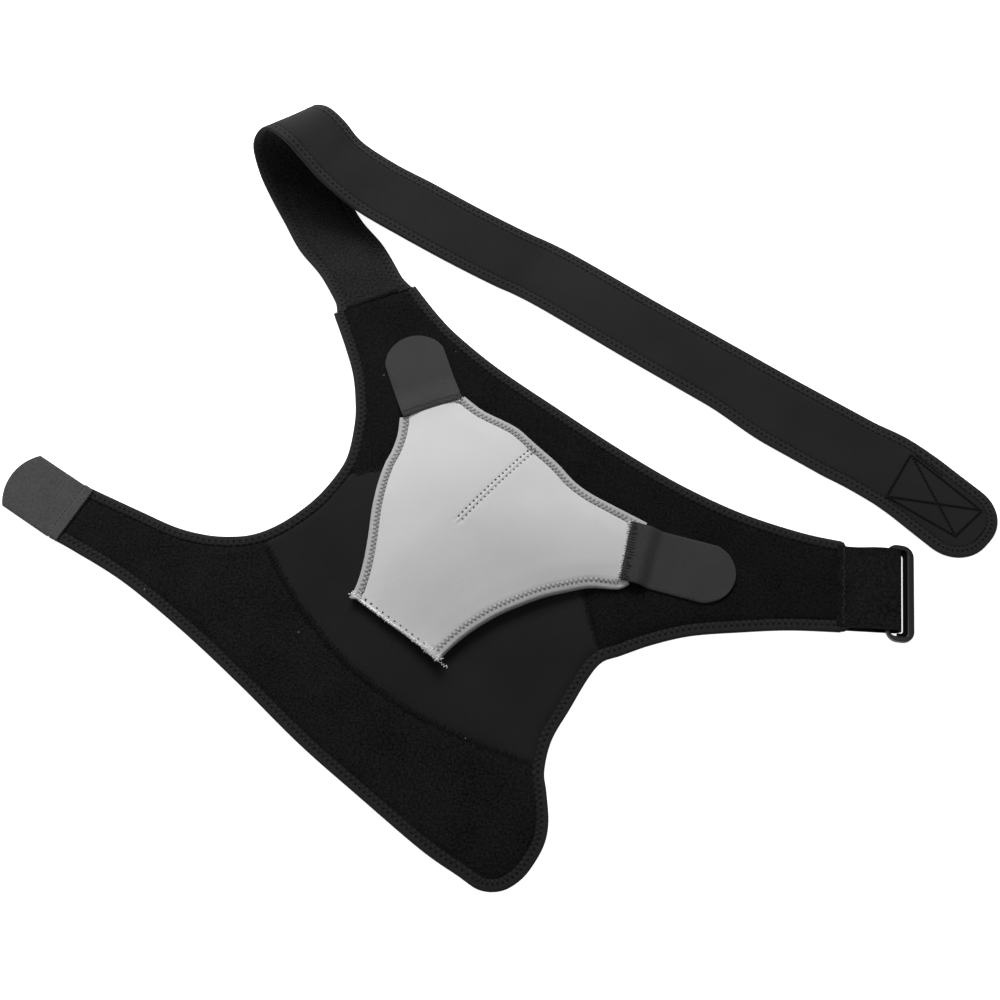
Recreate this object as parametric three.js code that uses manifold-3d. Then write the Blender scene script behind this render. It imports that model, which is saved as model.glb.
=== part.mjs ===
// Shoulder brace laid open on a flat surface with its inner face up.
// Millimetres, +Z up. The origin is on the resting plane, under the crown of the pressure pad.
import * as THREE from 'three';
import { mergeVertices } from 'three/addons/utils/BufferGeometryUtils.js';
import Module from 'manifold-3d';

const wasm = await Module();
wasm.setup();

// Body, cut from knit-faced neoprene
const bodyLong = 640;
const bodyHigh = 515;
const clothThick = 3.6;

// Tape bound over every cut edge of the body and the strap
const bindWide = 9;
const bindWall = 0.8;
const bindRound = 0.9;

// Gap left between neighbouring pieces
const clear = 0.3;

// Hook tabs
const hookThick = 1.5;
const armTabLong = 60;
const armTabRound = 10;
const armTabHeading = 145.6;
const topTabWide = 51;
const topTabLong = 71;
const topTabRound = 19;
const topTabHeading = 105.5;
const sideTabWide = 50;
const sideTabLong = 77;
const sideTabRound = 20;
const sideTabHeading = -16;

// Chest strap
const strapWide = 61;
const strapLong = 905.5;
const rootBend = 7.5;
const loopReach = 165;
const loopHigh = 47;
const passAhead = 40;
const passAside = 65;
const tipTurn = 9.4;
const tipTurnLong = 26;
const paddleWide = 66.5;
const paddleLong = 94;
const paddleFlare = 36;
const paddleRound = 26;

// Hook patch sewn under the strap's tip
const patchLong = 64;
const patchWide = 43;
const patchTipWide = 30;
const patchBack = 22;

// Webbing keeper folded round the ring's held bar
const keeperWide = 67.5;
const keeperLong = 44.2;
const webThick = 1.6;
const keeperSewn = 9;
const keeperRamp = 18;

// Ring
const ringLong = 80.4;
const ringWide = 22.4;
const ringThick = 4.5;
const ringRound = 9;
const ringEdge = 0.8;
const ringArm = 4.2;
const heldBar = 5;
const freeBar = 6.7;
const slotRound = 3;
const slotLeft = 5;
const ringSlip = 1.6;

// Pressure pad, a shallow cup of thicker neoprene
const padWide = 231;
const padHigh = 228;
const padThick = 5.5;
const padDome = 12;
const padEdgeThick = 3.6;
const padTapeWide = 8;
const padSoft = 0.4;

// Steps along curves in the faceted solids
const edgeStep = 14;
const foldStep = 7;
const runStep = 36;
const tipTurns = 5;
const padRings = [0.9, 0.72, 0.48, 0.22];

// Where the strap's closer steps start and end and its straight run starts, as shares of loopReach
const foldStart = 0.75;
const foldEnd = 1.7;
const runStart = 2.8;

// Outlines as shares: right of bodyLong, up of bodyHigh
const lowerEdge = [
  { right: -0.500, up: -0.031 },
  { right: -0.467, up: -0.054 },
  { right: -0.402, up: -0.105 },
  { right: -0.325, up: -0.183 },
  { right: -0.252, up: -0.266 },
  { right: -0.177, up: -0.356 },
  { right: -0.105, up: -0.433 },
  { right: -0.034, up: -0.507 },
  { right: 0.008, up: -0.543 },
  { right: 0.033, up: -0.563 },
  { right: 0.058, up: -0.564 },
  { right: 0.080, up: -0.548 },
  { right: 0.096, up: -0.523 },
  { right: 0.107, up: -0.496 },
  { right: 0.111, up: -0.466 },
  { right: 0.109, up: -0.425 },
  { right: 0.107, up: -0.395 },
  { right: 0.116, up: -0.350 },
  { right: 0.138, up: -0.303 },
  { right: 0.160, up: -0.257 },
  { right: 0.177, up: -0.232 },
  { right: 0.199, up: -0.222 },
  { right: 0.237, up: -0.205 },
  { right: 0.284, up: -0.191 },
  { right: 0.345, up: -0.185 },
  { right: 0.403, up: -0.182 },
  { right: 0.464, up: -0.185 },
];
const upperEdge = [
  { right: 0.477, up: -0.038 },
  { right: 0.427, up: -0.023 },
  { right: 0.355, up: 0.010 },
  { right: 0.281, up: 0.059 },
  { right: 0.207, up: 0.121 },
  { right: 0.132, up: 0.191 },
  { right: 0.057, up: 0.263 },
  { right: 0.003, up: 0.325 },
  { right: -0.027, up: 0.369 },
  { right: -0.057, up: 0.423 },
];
const armholeEdge = [
  { right: -0.164, up: 0.369 },
  { right: -0.147, up: 0.308 },
  { right: -0.135, up: 0.255 },
  { right: -0.130, up: 0.203 },
  { right: -0.130, up: 0.165 },
  { right: -0.136, up: 0.113 },
  { right: -0.147, up: 0.081 },
  { right: -0.169, up: 0.042 },
  { right: -0.193, up: 0.013 },
  { right: -0.220, up: -0.011 },
  { right: -0.248, up: -0.026 },
  { right: -0.276, up: -0.030 },
  { right: -0.307, up: -0.027 },
  { right: -0.345, up: -0.014 },
  { right: -0.393, up: 0.014 },
  { right: -0.461, up: 0.055 },
];

// Joins between the three panels, from the armhole side across, run out past both edges
const shoulderSeam = [
  { right: -0.185, up: 0.062 },
  { right: -0.145, up: 0.072 },
  { right: -0.090, up: 0.084 },
  { right: -0.020, up: 0.075 },
  { right: 0.050, up: 0.040 },
  { right: 0.110, up: -0.020 },
  { right: 0.148, up: -0.095 },
  { right: 0.166, up: -0.170 },
  { right: 0.177, up: -0.232 },
  { right: 0.187, up: -0.290 },
];
const cuffSeam = [
  { right: -0.243, up: 0.012 },
  { right: -0.232, up: -0.035 },
  { right: -0.219, up: -0.074 },
  { right: -0.184, up: -0.147 },
  { right: -0.132, up: -0.226 },
  { right: -0.067, up: -0.293 },
  { right: -0.006, up: -0.335 },
  { right: 0.055, up: -0.368 },
  { right: 0.092, up: -0.385 },
  { right: 0.140, up: -0.404 },
];

// Corners of the prisms that part the body, clear of the cloth
const inArmhole = { right: -0.28, up: 0.16 };
const belowTab = { right: -0.7, up: -0.7 };
const belowCuff = { right: 0.2, up: -0.7 };
const belowRing = { right: 0.5, up: -0.7 };

// Pad outline as shares: right of padWide, up of padHigh, from the crown
const padLeft = [
  { right: -0.199, up: 0.386 },
  { right: -0.205, up: 0.318 },
  { right: -0.222, up: 0.256 },
  { right: -0.245, up: 0.205 },
  { right: -0.267, up: 0.130 },
  { right: -0.284, up: 0.035 },
  { right: -0.294, up: -0.075 },
  { right: -0.306, up: -0.170 },
  { right: -0.322, up: -0.243 },
  { right: -0.342, up: -0.296 },
];
const padLower = [
  { right: -0.048, up: -0.526 },
  { right: 0.000, up: -0.474 },
  { right: 0.061, up: -0.422 },
  { right: 0.139, up: -0.370 },
  { right: 0.216, up: -0.333 },
  { right: 0.299, up: -0.300 },
  { right: 0.377, up: -0.280 },
  { right: 0.459, up: -0.264 },
  { right: 0.550, up: -0.268 },
  { right: 0.589, up: -0.250 },
];
const padUpper = [
  { right: 0.658, up: -0.026 },
  { right: 0.545, up: 0.040 },
  { right: 0.468, up: 0.086 },
  { right: 0.411, up: 0.134 },
  { right: 0.355, up: 0.204 },
  { right: 0.281, up: 0.279 },
  { right: 0.221, up: 0.340 },
  { right: 0.173, up: 0.371 },
  { right: 0.095, up: 0.415 },
  { right: 0.030, up: 0.472 },
];

// The strap's way from its root over the fold: ahead and aside are shares of loopReach,
// ahead turned rootBend from square to the body's end; lift is a share of loopHigh; facing
// turns the line across the strap, and tilt drops its far end
const foldRoute = [
  { ahead: 0.270, aside: 0.010, lift: 0.00, facing: 0, tilt: 0 },
  { ahead: 0.475, aside: -0.015, lift: 0.00, facing: 0, tilt: 0 },
  { ahead: 0.690, aside: -0.020, lift: 0.00, facing: 0, tilt: 0 },
  { ahead: 0.835, aside: -0.030, lift: 0.07, facing: 1, tilt: 5 },
  { ahead: 0.970, aside: -0.030, lift: 0.20, facing: 3, tilt: 15 },
  { ahead: 1.083, aside: -0.010, lift: 0.48, facing: 8, tilt: 24 },
  { ahead: 1.090, aside: 0.047, lift: 0.87, facing: 20, tilt: 24 },
  { ahead: 0.988, aside: 0.100, lift: 1.00, facing: 25, tilt: 16 },
  { ahead: 0.865, aside: 0.142, lift: 0.84, facing: 26, tilt: 11 },
  { ahead: 0.745, aside: 0.198, lift: 0.63, facing: 29, tilt: 11 },
  { ahead: 0.568, aside: 0.296, lift: 0.43, facing: 30, tilt: 4 },
  { ahead: 0.334, aside: 0.438, lift: 0.32, facing: 31, tilt: 0 },
  { ahead: 0.097, aside: 0.595, lift: 0.19, facing: 31, tilt: 0 },
  { ahead: -0.130, aside: 0.746, lift: 0.06, facing: 30, tilt: 0 },
  { ahead: -0.253, aside: 0.817, lift: 0.00, facing: 29, tilt: 0 },
];

const rad = THREE.MathUtils.degToRad;
const heading = (degrees) => new THREE.Vector2(Math.cos(rad(degrees)), Math.sin(rad(degrees)));
const middle = (a, b) => a.clone().add(b).multiplyScalar(0.5);
const bodyPoint = (row) => new THREE.Vector2(row.right * bodyLong, row.up * bodyHigh);
const padPoint = (row) => new THREE.Vector2(row.right * padWide, row.up * padHigh);

// A smooth route through points, evenly stepped, each step with the normal on its left
function route(points, step, runOut = 0) {
  const curve = new THREE.SplineCurve(points);
  const count = Math.max(2, Math.round(curve.getLength() / step));
  const steps = [];
  for (let i = 0; i <= count; i += 1) {
    const at = curve.getPointAt(i / count);
    const along = curve.getTangentAt(i / count);
    steps.push({ at, along, inward: new THREE.Vector2(-along.y, along.x) });
  }
  if (runOut > 0) {
    const first = steps[0];
    const last = steps[count];
    steps.unshift({ ...first, at: first.at.clone().addScaledVector(first.along, -runOut) });
    steps.push({ ...last, at: last.at.clone().addScaledVector(last.along, runOut) });
  }
  return steps;
}

const insetPoints = (steps, inset) => (
  steps.map(({ at, inward }) => at.clone().addScaledVector(inward, inset))
);

// A closed body through rings of points, all with as many points, capped at both ends
function loft(rings, caps) {
  const size = rings[0].length;
  const positions = rings.flat().flatMap((p) => [p.x, p.y, p.z]);
  const faces = [];
  for (let ring = 0; ring + 1 < rings.length; ring += 1) {
    for (let i = 0; i < size; i += 1) {
      const a = ring * size + i;
      const b = ring * size + ((i + 1) % size);
      faces.push(a, b, b + size, a, b + size, a + size);
    }
  }
  const end = (rings.length - 1) * size;
  for (const [a, b, c] of caps) {
    faces.push(c, b, a, end + a, end + b, end + c);
  }
  return facingOut(positions, faces);
}

// Turns a closed set of faces outwards where they point in
function facingOut(positions, faces) {
  const corner = (i) => new THREE.Vector3(positions[3 * i], positions[3 * i + 1], positions[3 * i + 2]);
  let volume = 0;
  for (let i = 0; i < faces.length; i += 3) {
    volume += corner(faces[i]).dot(corner(faces[i + 1]).cross(corner(faces[i + 2])));
  }
  const geometry = new THREE.BufferGeometry();
  geometry.setAttribute('position', new THREE.Float32BufferAttribute(positions, 3));
  geometry.setIndex(volume > 0 ? faces : faces.reverse());
  return geometry;
}

// An open section of wall and height carried along a route
function sweep(steps, section, place) {
  const flat = section.map(([across, up]) => new THREE.Vector2(across, up));
  const caps = THREE.ShapeUtils.triangulateShape(flat, []);
  const rings = steps.map(({ at, inward }) => section.map(([across, up]) => {
    const spot = at.clone().addScaledVector(inward, across);
    return place(spot.x, spot.y, up);
  }));
  return loft(rings, caps);
}

// A strip from low to high, with its width given at each station
function strip(stations, low, high, place) {
  const rings = stations.map(({ s, half }) => [
    place(s, -half, low),
    place(s, half, low),
    place(s, half, high),
    place(s, -half, high),
  ]);
  return loft(rings, [[0, 1, 2], [0, 2, 3]]);
}

// A flat slab of an outline
function slab(outline, low, high) {
  const geometry = new THREE.ExtrudeGeometry(new THREE.Shape(outline), {
    depth: high - low,
    bevelEnabled: false,
  });
  return geometry.translate(0, 0, low);
}

function solid(geometry) {
  const bare = geometry.clone();
  bare.deleteAttribute('normal');
  bare.deleteAttribute('uv');
  const merged = mergeVertices(bare, 1e-4);
  return new wasm.Manifold(new wasm.Mesh({
    numProp: 3,
    vertProperties: new Float32Array(merged.attributes.position.array),
    triVerts: new Uint32Array(merged.index.array),
  }));
}

function surface(body) {
  const mesh = body.getMesh();
  const geometry = new THREE.BufferGeometry();
  geometry.setAttribute('position', new THREE.Float32BufferAttribute(mesh.vertProperties, 3));
  geometry.setIndex(Array.from(mesh.triVerts));
  return geometry;
}

// Materials
const cloth = (color, roughness) => new THREE.MeshStandardMaterial({ color, roughness, metalness: 0 });
const velour = cloth(0x141414, 1.0);
const smoothKnit = cloth(0x2a2a2a, 0.8);
const tape = cloth(0x303030, 0.75);
const hookTape = cloth(0x444444, 0.85);
const padKnit = cloth(0xc6c6c6, 0.9);
const padTape = cloth(0xb4b4b4, 0.8);
const plastic = cloth(0x1c1c1c, 0.35);

const brace = new THREE.Group();
function piece(name, geometry, material) {
  const bare = geometry.index ? geometry.toNonIndexed() : geometry;
  bare.computeVertexNormals();
  const mesh = new THREE.Mesh(bare, material);
  mesh.name = name;
  brace.add(mesh);
}

// The U of tape over an edge of a given height
function tapeSection(wide, high) {
  return [
    [0, 0],
    [wide, 0],
    [wide, bindWall],
    [bindWall, bindWall],
    [bindWall, high - bindWall],
    [wide, high - bindWall],
    [wide, high],
    [bindRound, high],
    [0, high - bindRound],
  ];
}

// Body ends, where the edges stop: the tab's seam, the strap's root and the keeper's seam
const firstOf = (rows) => bodyPoint(rows[0]);
const lastOf = (rows) => bodyPoint(rows[rows.length - 1]);
const tabEnd = { low: firstOf(lowerEdge), high: lastOf(armholeEdge) };
const rootEnd = { left: firstOf(armholeEdge), right: lastOf(upperEdge) };
const ringEnd = { low: lastOf(lowerEdge), high: firstOf(upperEdge) };
const onwards = (from, to, share) => to.clone().add(to.clone().sub(from).multiplyScalar(share));

function bodyPanels() {
  const runOut = 2 * bindWide;
  const lower = route(lowerEdge.map(bodyPoint), edgeStep, runOut);
  const upper = route(upperEdge.map(bodyPoint), edgeStep, runOut);
  const armhole = route(armholeEdge.map(bodyPoint), edgeStep, runOut);
  const outline = (inset) => [lower, upper, armhole].flatMap((steps) => insetPoints(steps, inset));
  const wall = bindWall + clear;
  const margin = solid(slab(outline(wall), wall, clothThick - wall));
  const core = solid(slab(outline(bindWide + clear), 0, clothThick));
  const whole = margin.add(core);

  // Prisms that stop the body at its ends and part it at the seams
  const above = 2 * clothThick;
  const prism = (outlinePoints) => solid(slab(outlinePoints, -above, above));
  const seamSide = (rows, offset) => insetPoints(route(rows.map(bodyPoint), edgeStep), offset);
  const rootLine = [onwards(rootEnd.right, rootEnd.left, 0.6), onwards(rootEnd.left, rootEnd.right, 0.6)];
  const ringLine = [onwards(ringEnd.low, ringEnd.high, 3), onwards(ringEnd.high, ringEnd.low, 1)];
  const tabLine = [onwards(tabEnd.high, tabEnd.low, 1), onwards(tabEnd.low, tabEnd.high, 1)];
  const half = clear / 2;
  const shoulderRegion = prism([
    ...seamSide(shoulderSeam, half),
    ringLine[1],
    ringLine[0],
    rootLine[1],
    rootLine[0],
    bodyPoint(inArmhole),
  ]);
  const centreRegion = prism([
    ...seamSide(shoulderSeam, -half),
    ...seamSide(cuffSeam, half).reverse(),
  ]);
  const cuffRegion = prism([
    ...seamSide(cuffSeam, -half),
    bodyPoint(belowCuff),
    bodyPoint(belowTab),
    tabLine[0],
    tabLine[1],
    bodyPoint(inArmhole),
  ]);
  const wholeRegion = prism([
    bodyPoint(belowTab),
    tabLine[0],
    tabLine[1],
    bodyPoint(inArmhole),
    rootLine[0],
    rootLine[1],
    ringLine[0],
    ringLine[1],
    bodyPoint(belowRing),
  ]);
  piece('shoulder_panel', surface(whole.intersect(shoulderRegion)), velour);
  piece('centre_panel', surface(whole.intersect(centreRegion)), smoothKnit);
  piece('arm_cuff_panel', surface(whole.intersect(cuffRegion)), velour);

  const onFloor = (x, y, up) => new THREE.Vector3(x, y, up);
  const section = tapeSection(bindWide, clothThick);
  const binding = (steps) => surface(solid(sweep(steps, section, onFloor)).intersect(wholeRegion));
  piece('lower_binding', binding(lower), tape);
  piece('upper_binding', binding(upper), tape);
  piece('armhole_binding', binding(armhole), tape);
}

// A hook tab from its base to its rounded end, which stops just short of closing
function hookTab(name, base, across, long, round, headingAngle, seat) {
  const axis = heading(headingAngle);
  const half = across.length() / 2;
  const side = across.clone().normalize();
  const stations = [];
  const sides = 6;
  const closing = 0.97;
  for (let i = 0; i <= sides; i += 1) {
    stations.push({ s: (i / sides) * (long - round), half });
  }
  const turns = 8;
  const radius = (half ** 2 + round ** 2) / (2 * round);
  const from = Math.asin(Math.min(1, half / radius));
  for (let i = 1; i <= turns; i += 1) {
    const angle = from * (1 - (closing * i) / turns);
    stations.push({ s: long - radius * (1 - Math.cos(angle)), half: radius * Math.sin(angle) });
  }
  const place = (s, t, up) => new THREE.Vector3(
    base.x + axis.x * s + side.x * t,
    base.y + axis.y * s + side.y * t,
    seat(s) + up,
  );
  piece(name, strip(stations, 0, hookThick, place), hookTape);
}

function armTab() {
  const across = tabEnd.high.clone().sub(tabEnd.low);
  const outward = new THREE.Vector2(-across.y, across.x).normalize();
  const base = middle(tabEnd.low, tabEnd.high).addScaledVector(outward, clear);
  hookTab('arm_tab', base, across, armTabLong, armTabRound, armTabHeading, () => 0);
}

// The strap's route: over the fold, down to the floor, straight past the ring and off to its tip
function strapMap() {
  const rootLine = rootEnd.right.clone().sub(rootEnd.left);
  const rootAngle = THREE.MathUtils.radToDeg(rootLine.angle());
  const ahead = heading(rootAngle + 90 + rootBend);
  const aside = heading(rootAngle + rootBend);
  const square = heading(rootAngle + 90);
  const root = middle(rootEnd.left, rootEnd.right).addScaledVector(square, clear);
  const rest = clothThick / 2;
  const centres = foldRoute.map((row) => new THREE.Vector3(
    root.x + (ahead.x * row.ahead + aside.x * row.aside) * loopReach,
    root.y + (ahead.y * row.ahead + aside.y * row.aside) * loopReach,
    rest + row.lift * loopHigh,
  ));
  const turns = foldRoute.map((row) => (
    new THREE.Vector3(rootAngle + rootBend + row.facing, -row.tilt, 0)
  ));
  centres.unshift(new THREE.Vector3(root.x, root.y, rest));
  turns.unshift(new THREE.Vector3(rootAngle, 0, 0));

  const down = centres[centres.length - 1];
  const pass = new THREE.Vector2(ringEnd.high.x + passAhead, ringEnd.high.y + passAside);
  const runAngle = THREE.MathUtils.radToDeg(Math.atan2(pass.y - down.y, pass.x - down.x));
  const runLong = Math.hypot(pass.y - down.y, pass.x - down.x);
  const onRun = (from, angle, long, lift) => {
    const way = heading(angle);
    centres.push(new THREE.Vector3(from.x + way.x * long, from.y + way.y * long, rest + lift));
    turns.push(new THREE.Vector3(angle + 90, 0, 0));
    return centres[centres.length - 1];
  };
  const patchLift = hookThick + clear;
  onRun(down, runAngle, runLong / 3, 0);
  onRun(down, runAngle, (2 * runLong) / 3, 0);
  const passed = onRun(down, runAngle, runLong, patchLift);
  const turned = onRun(passed, runAngle - tipTurn / 2, tipTurnLong, patchLift);
  turns[turns.length - 1].x -= tipTurn / 4;
  const beyond = onRun(turned, runAngle - tipTurn, tipTurnLong, patchLift);
  onRun(beyond, runAngle - tipTurn, strapLong / 4, patchLift);

  const centreLine = new THREE.CatmullRomCurve3(centres);
  const turnLine = new THREE.CatmullRomCurve3(turns);
  const whole = centreLine.getLength();
  return (s, t, up) => {
    const share = THREE.MathUtils.clamp(s / whole, 0, 1);
    const centre = centreLine.getPointAt(share);
    centre.z = Math.max(centre.z, rest);
    const along = centreLine.getTangentAt(share);
    const turn = turnLine.getPoint(centreLine.getUtoTmapping(share));
    const across = new THREE.Vector3(
      Math.cos(rad(turn.x)) * Math.cos(rad(turn.y)),
      Math.sin(rad(turn.x)) * Math.cos(rad(turn.y)),
      Math.sin(rad(turn.y)),
    );
    const inner = across.clone().cross(along).normalize();
    return centre.addScaledVector(across, t).addScaledVector(inner, up - clothThick / 2);
  };
}

// Half the strap's width at a distance along it, less an inset from its edge
function strapHalf(s, inset = 0) {
  const flareStart = strapLong - paddleLong - paddleFlare;
  const flare = THREE.MathUtils.smoothstep(s, flareStart, flareStart + paddleFlare);
  const half = THREE.MathUtils.lerp(strapWide / 2, paddleWide / 2, flare);
  const round = paddleRound - inset;
  const into = THREE.MathUtils.clamp(s - (strapLong - paddleRound), 0, round);
  return half - paddleRound + Math.sqrt(round ** 2 - into ** 2);
}

// Distances along the strap, closer over the fold and at the rounded tip
function strapStops() {
  const stops = [];
  const every = (from, to, step) => {
    for (let s = from; s < to; s += step) {
      stops.push(s);
    }
  };
  const flare = strapLong - paddleLong - paddleFlare;
  const tip = strapLong - paddleRound;
  every(0, foldStart * loopReach, edgeStep);
  every(foldStart * loopReach, foldEnd * loopReach, foldStep);
  every(foldEnd * loopReach, runStart * loopReach, edgeStep);
  every(runStart * loopReach, flare, runStep);
  every(flare, tip - edgeStep / 2, edgeStep);
  for (let i = 0; i <= tipTurns; i += 1) {
    stops.push(tip + paddleRound * Math.sin((i / tipTurns) * rad(90)));
  }
  return stops;
}

function chestStrap() {
  const place = strapMap();
  const stops = strapStops();

  // The strap's edge in the flat, up one side, round the tip and back down the other
  const oneSide = stops.map((s) => new THREE.Vector2(s, -strapHalf(s)));
  const otherSide = stops.map((s) => new THREE.Vector2(s, strapHalf(s))).reverse();
  const flat = [...oneSide, ...otherSide];
  const steps = flat.map((at, i) => {
    const before = flat[Math.max(0, i - 1)];
    const after = flat[Math.min(flat.length - 1, i + 1)];
    const along = after.clone().sub(before).normalize();
    return { at, inward: new THREE.Vector2(-along.y, along.x) };
  });
  piece('strap_binding', sweep(steps, tapeSection(bindWide, clothThick), place), tape);

  // The web is thin inside the tape and full between it; past the core's end at the tip
  // only the thin margin runs on, with the core feathered into it
  const wall = bindWall + clear;
  const coreInset = bindWide + clear;
  const coreEnd = strapLong - coreInset;
  const feather = 0.05;
  const apart = 1;
  const end = strapLong - wall;
  const inside = [
    ...stops.filter((s) => s < coreEnd - apart),
    coreEnd,
    coreEnd + feather,
    ...stops.filter((s) => s > coreEnd + 2 * apart && s < end - apart),
    end,
  ];
  const sections = inside.map((s) => {
    const past = s > coreEnd;
    const edge = strapHalf(s, wall);
    const core = Math.min(strapHalf(Math.min(s, coreEnd), coreInset), edge - feather);
    const low = past ? wall - feather : 0;
    const high = clothThick - low;
    const sides = [
      [-edge, wall],
      [-core, wall],
      [-core, low],
      [0, low],
      [core, low],
      [core, wall],
      [edge, wall],
    ];
    const back = sides.map(([t, up]) => [-t, clothThick - up]);
    return { s, outline: [...sides, ...back] };
  });
  const caps = THREE.ShapeUtils.triangulateShape(
    sections[0].outline.map(([t, up]) => new THREE.Vector2(t, up)),
    [],
  );
  const web = sections.map(({ s, outline }) => outline.map(([t, up]) => place(s, t, up)));
  piece('chest_strap', loft(web, caps), smoothKnit);

  const patchStart = strapLong - patchBack - patchLong;
  const patch = [0, 0.25, 0.5, 0.75, 1].map((share) => ({
    s: patchStart + share * patchLong,
    half: THREE.MathUtils.lerp(patchWide, patchTipWide, share) / 2,
  }));
  const seat = clothThick + clear;
  piece('strap_hook_patch', strip(patch, seat, seat + hookThick, place), hookTape);
}

// Frame at the ring end: out along the brace and across it
const ringAcross = ringEnd.high.clone().sub(ringEnd.low).normalize();
const ringOut = new THREE.Vector2(ringAcross.y, -ringAcross.x);
const ringMiddle = middle(ringEnd.low, ringEnd.high);
const outerFold = (2 * (webThick + clear) + heldBar) / 2;
const barHigh = webThick + clear + heldBar / 2;
const barOut = keeperLong + slotLeft + freeBar - ringWide + heldBar / 2;

// Sets a shape drawn out and up, and extruded across, at the ring end of the body
function atRingEnd(geometry) {
  const frame = new THREE.Matrix4().makeBasis(
    new THREE.Vector3(ringOut.x, ringOut.y, 0),
    new THREE.Vector3(0, 0, 1),
    new THREE.Vector3(-ringAcross.x, -ringAcross.y, 0),
  );
  frame.setPosition(ringMiddle.x, ringMiddle.y, 0);
  return geometry.applyMatrix4(frame);
}

function ringKeeper() {
  const profile = new THREE.Shape();
  const top = 2 * outerFold;
  const sewn = 2 * webThick + clear;
  profile.moveTo(clear, 0);
  profile.lineTo(keeperLong - outerFold, 0);
  profile.absarc(keeperLong - outerFold, outerFold, outerFold, -Math.PI / 2, Math.PI / 2, false);
  profile.lineTo(keeperSewn + keeperRamp, top);
  profile.lineTo(keeperSewn, sewn);
  profile.lineTo(clear, sewn);
  profile.closePath();
  const hollow = new THREE.Path();
  const innerFold = outerFold - webThick;
  hollow.moveTo(keeperSewn, webThick);
  hollow.lineTo(keeperLong - outerFold, webThick);
  hollow.absarc(keeperLong - outerFold, outerFold, innerFold, -Math.PI / 2, Math.PI / 2, false);
  hollow.lineTo(keeperSewn + keeperRamp, top - webThick);
  hollow.lineTo(keeperSewn, sewn - webThick);
  hollow.closePath();
  profile.holes.push(hollow);
  const geometry = new THREE.ExtrudeGeometry(profile, {
    depth: keeperWide,
    bevelEnabled: false,
    curveSegments: 8,
  });
  piece('ring_keeper', atRingEnd(geometry.translate(0, 0, -keeperWide / 2)), velour);
}

// Rounded rectangle from out0 to out1 and half wide to each side
function roundedBox(Kind, out0, out1, half, round) {
  const shape = new Kind();
  shape.moveTo(out0 + round, -half);
  shape.lineTo(out1 - round, -half);
  shape.absarc(out1 - round, -half + round, round, -Math.PI / 2, 0, false);
  shape.lineTo(out1, half - round);
  shape.absarc(out1 - round, half - round, round, 0, Math.PI / 2, false);
  shape.lineTo(out0 + round, half);
  shape.absarc(out0 + round, half - round, round, Math.PI / 2, Math.PI, false);
  shape.lineTo(out0, -half + round);
  shape.absarc(out0 + round, -half + round, round, Math.PI, 1.5 * Math.PI, false);
  shape.closePath();
  return shape;
}

// The ring: a flat frame whose held side is a round bar, lying with its free bar on the floor
function strapRing() {
  const inner = -heldBar / 2;
  const outer = inner + ringWide;
  const slotHalf = ringLong / 2 - ringArm;
  const slim = ringEdge;
  const half = ringLong / 2 - slim;
  const shape = roundedBox(THREE.Shape, inner + slim, outer - slim, half, ringRound - slim);
  const slotEnd = outer - freeBar + slim;
  shape.holes.push(roundedBox(THREE.Path, 0, slotEnd, slotHalf + slim, slotRound + slim));
  const frame = new THREE.ExtrudeGeometry(shape, {
    depth: ringThick - 2 * ringEdge,
    bevelThickness: ringEdge,
    bevelSize: ringEdge,
    bevelSegments: 2,
    curveSegments: 5,
  });
  frame.translate(0, 0, -(ringThick - 2 * ringEdge) / 2);
  const away = new THREE.BoxGeometry(2 * heldBar, 2 * slotHalf, 2 * ringThick);
  const bar = new THREE.CylinderGeometry(heldBar / 2, heldBar / 2, 2 * (slotHalf + ringArm / 2), 16);
  const ring = surface(solid(frame).subtract(solid(away)).add(solid(bar)));
  const drop = Math.asin((barHigh - ringThick / 2) / outer);
  ring.rotateY(drop);
  const frameAt = new THREE.Matrix4().makeBasis(
    new THREE.Vector3(ringOut.x, ringOut.y, 0),
    new THREE.Vector3(ringAcross.x, ringAcross.y, 0),
    new THREE.Vector3(0, 0, 1),
  );
  const at = ringMiddle.clone().addScaledVector(ringOut, barOut);
  at.addScaledVector(ringAcross, -ringSlip);
  frameAt.setPosition(at.x, at.y, barHigh);
  piece('strap_ring', ring.applyMatrix4(frameAt), plastic);
}

// The pad rises from its edge to the crown
function padRise(outline) {
  const corners = outline.map((p) => ({ angle: Math.atan2(p.y, p.x), reach: p.length() }));
  corners.sort((a, b) => a.angle - b.angle);
  return (x, y) => {
    const angle = Math.atan2(y, x);
    const after = corners.findIndex((c) => c.angle > angle);
    const next = corners[after < 0 ? 0 : after];
    const last = corners[(after < 0 ? corners.length : after || corners.length) - 1];
    const turn = (a) => ((a % (2 * Math.PI)) + 2 * Math.PI) % (2 * Math.PI);
    const span = turn(next.angle - last.angle) || 1;
    const reach = THREE.MathUtils.lerp(last.reach, next.reach, turn(angle - last.angle) / span);
    const share = Math.min(1, Math.hypot(x, y) / reach);
    return padDome * (1 - share ** 2) ** 1.5;
  };
}

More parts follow.
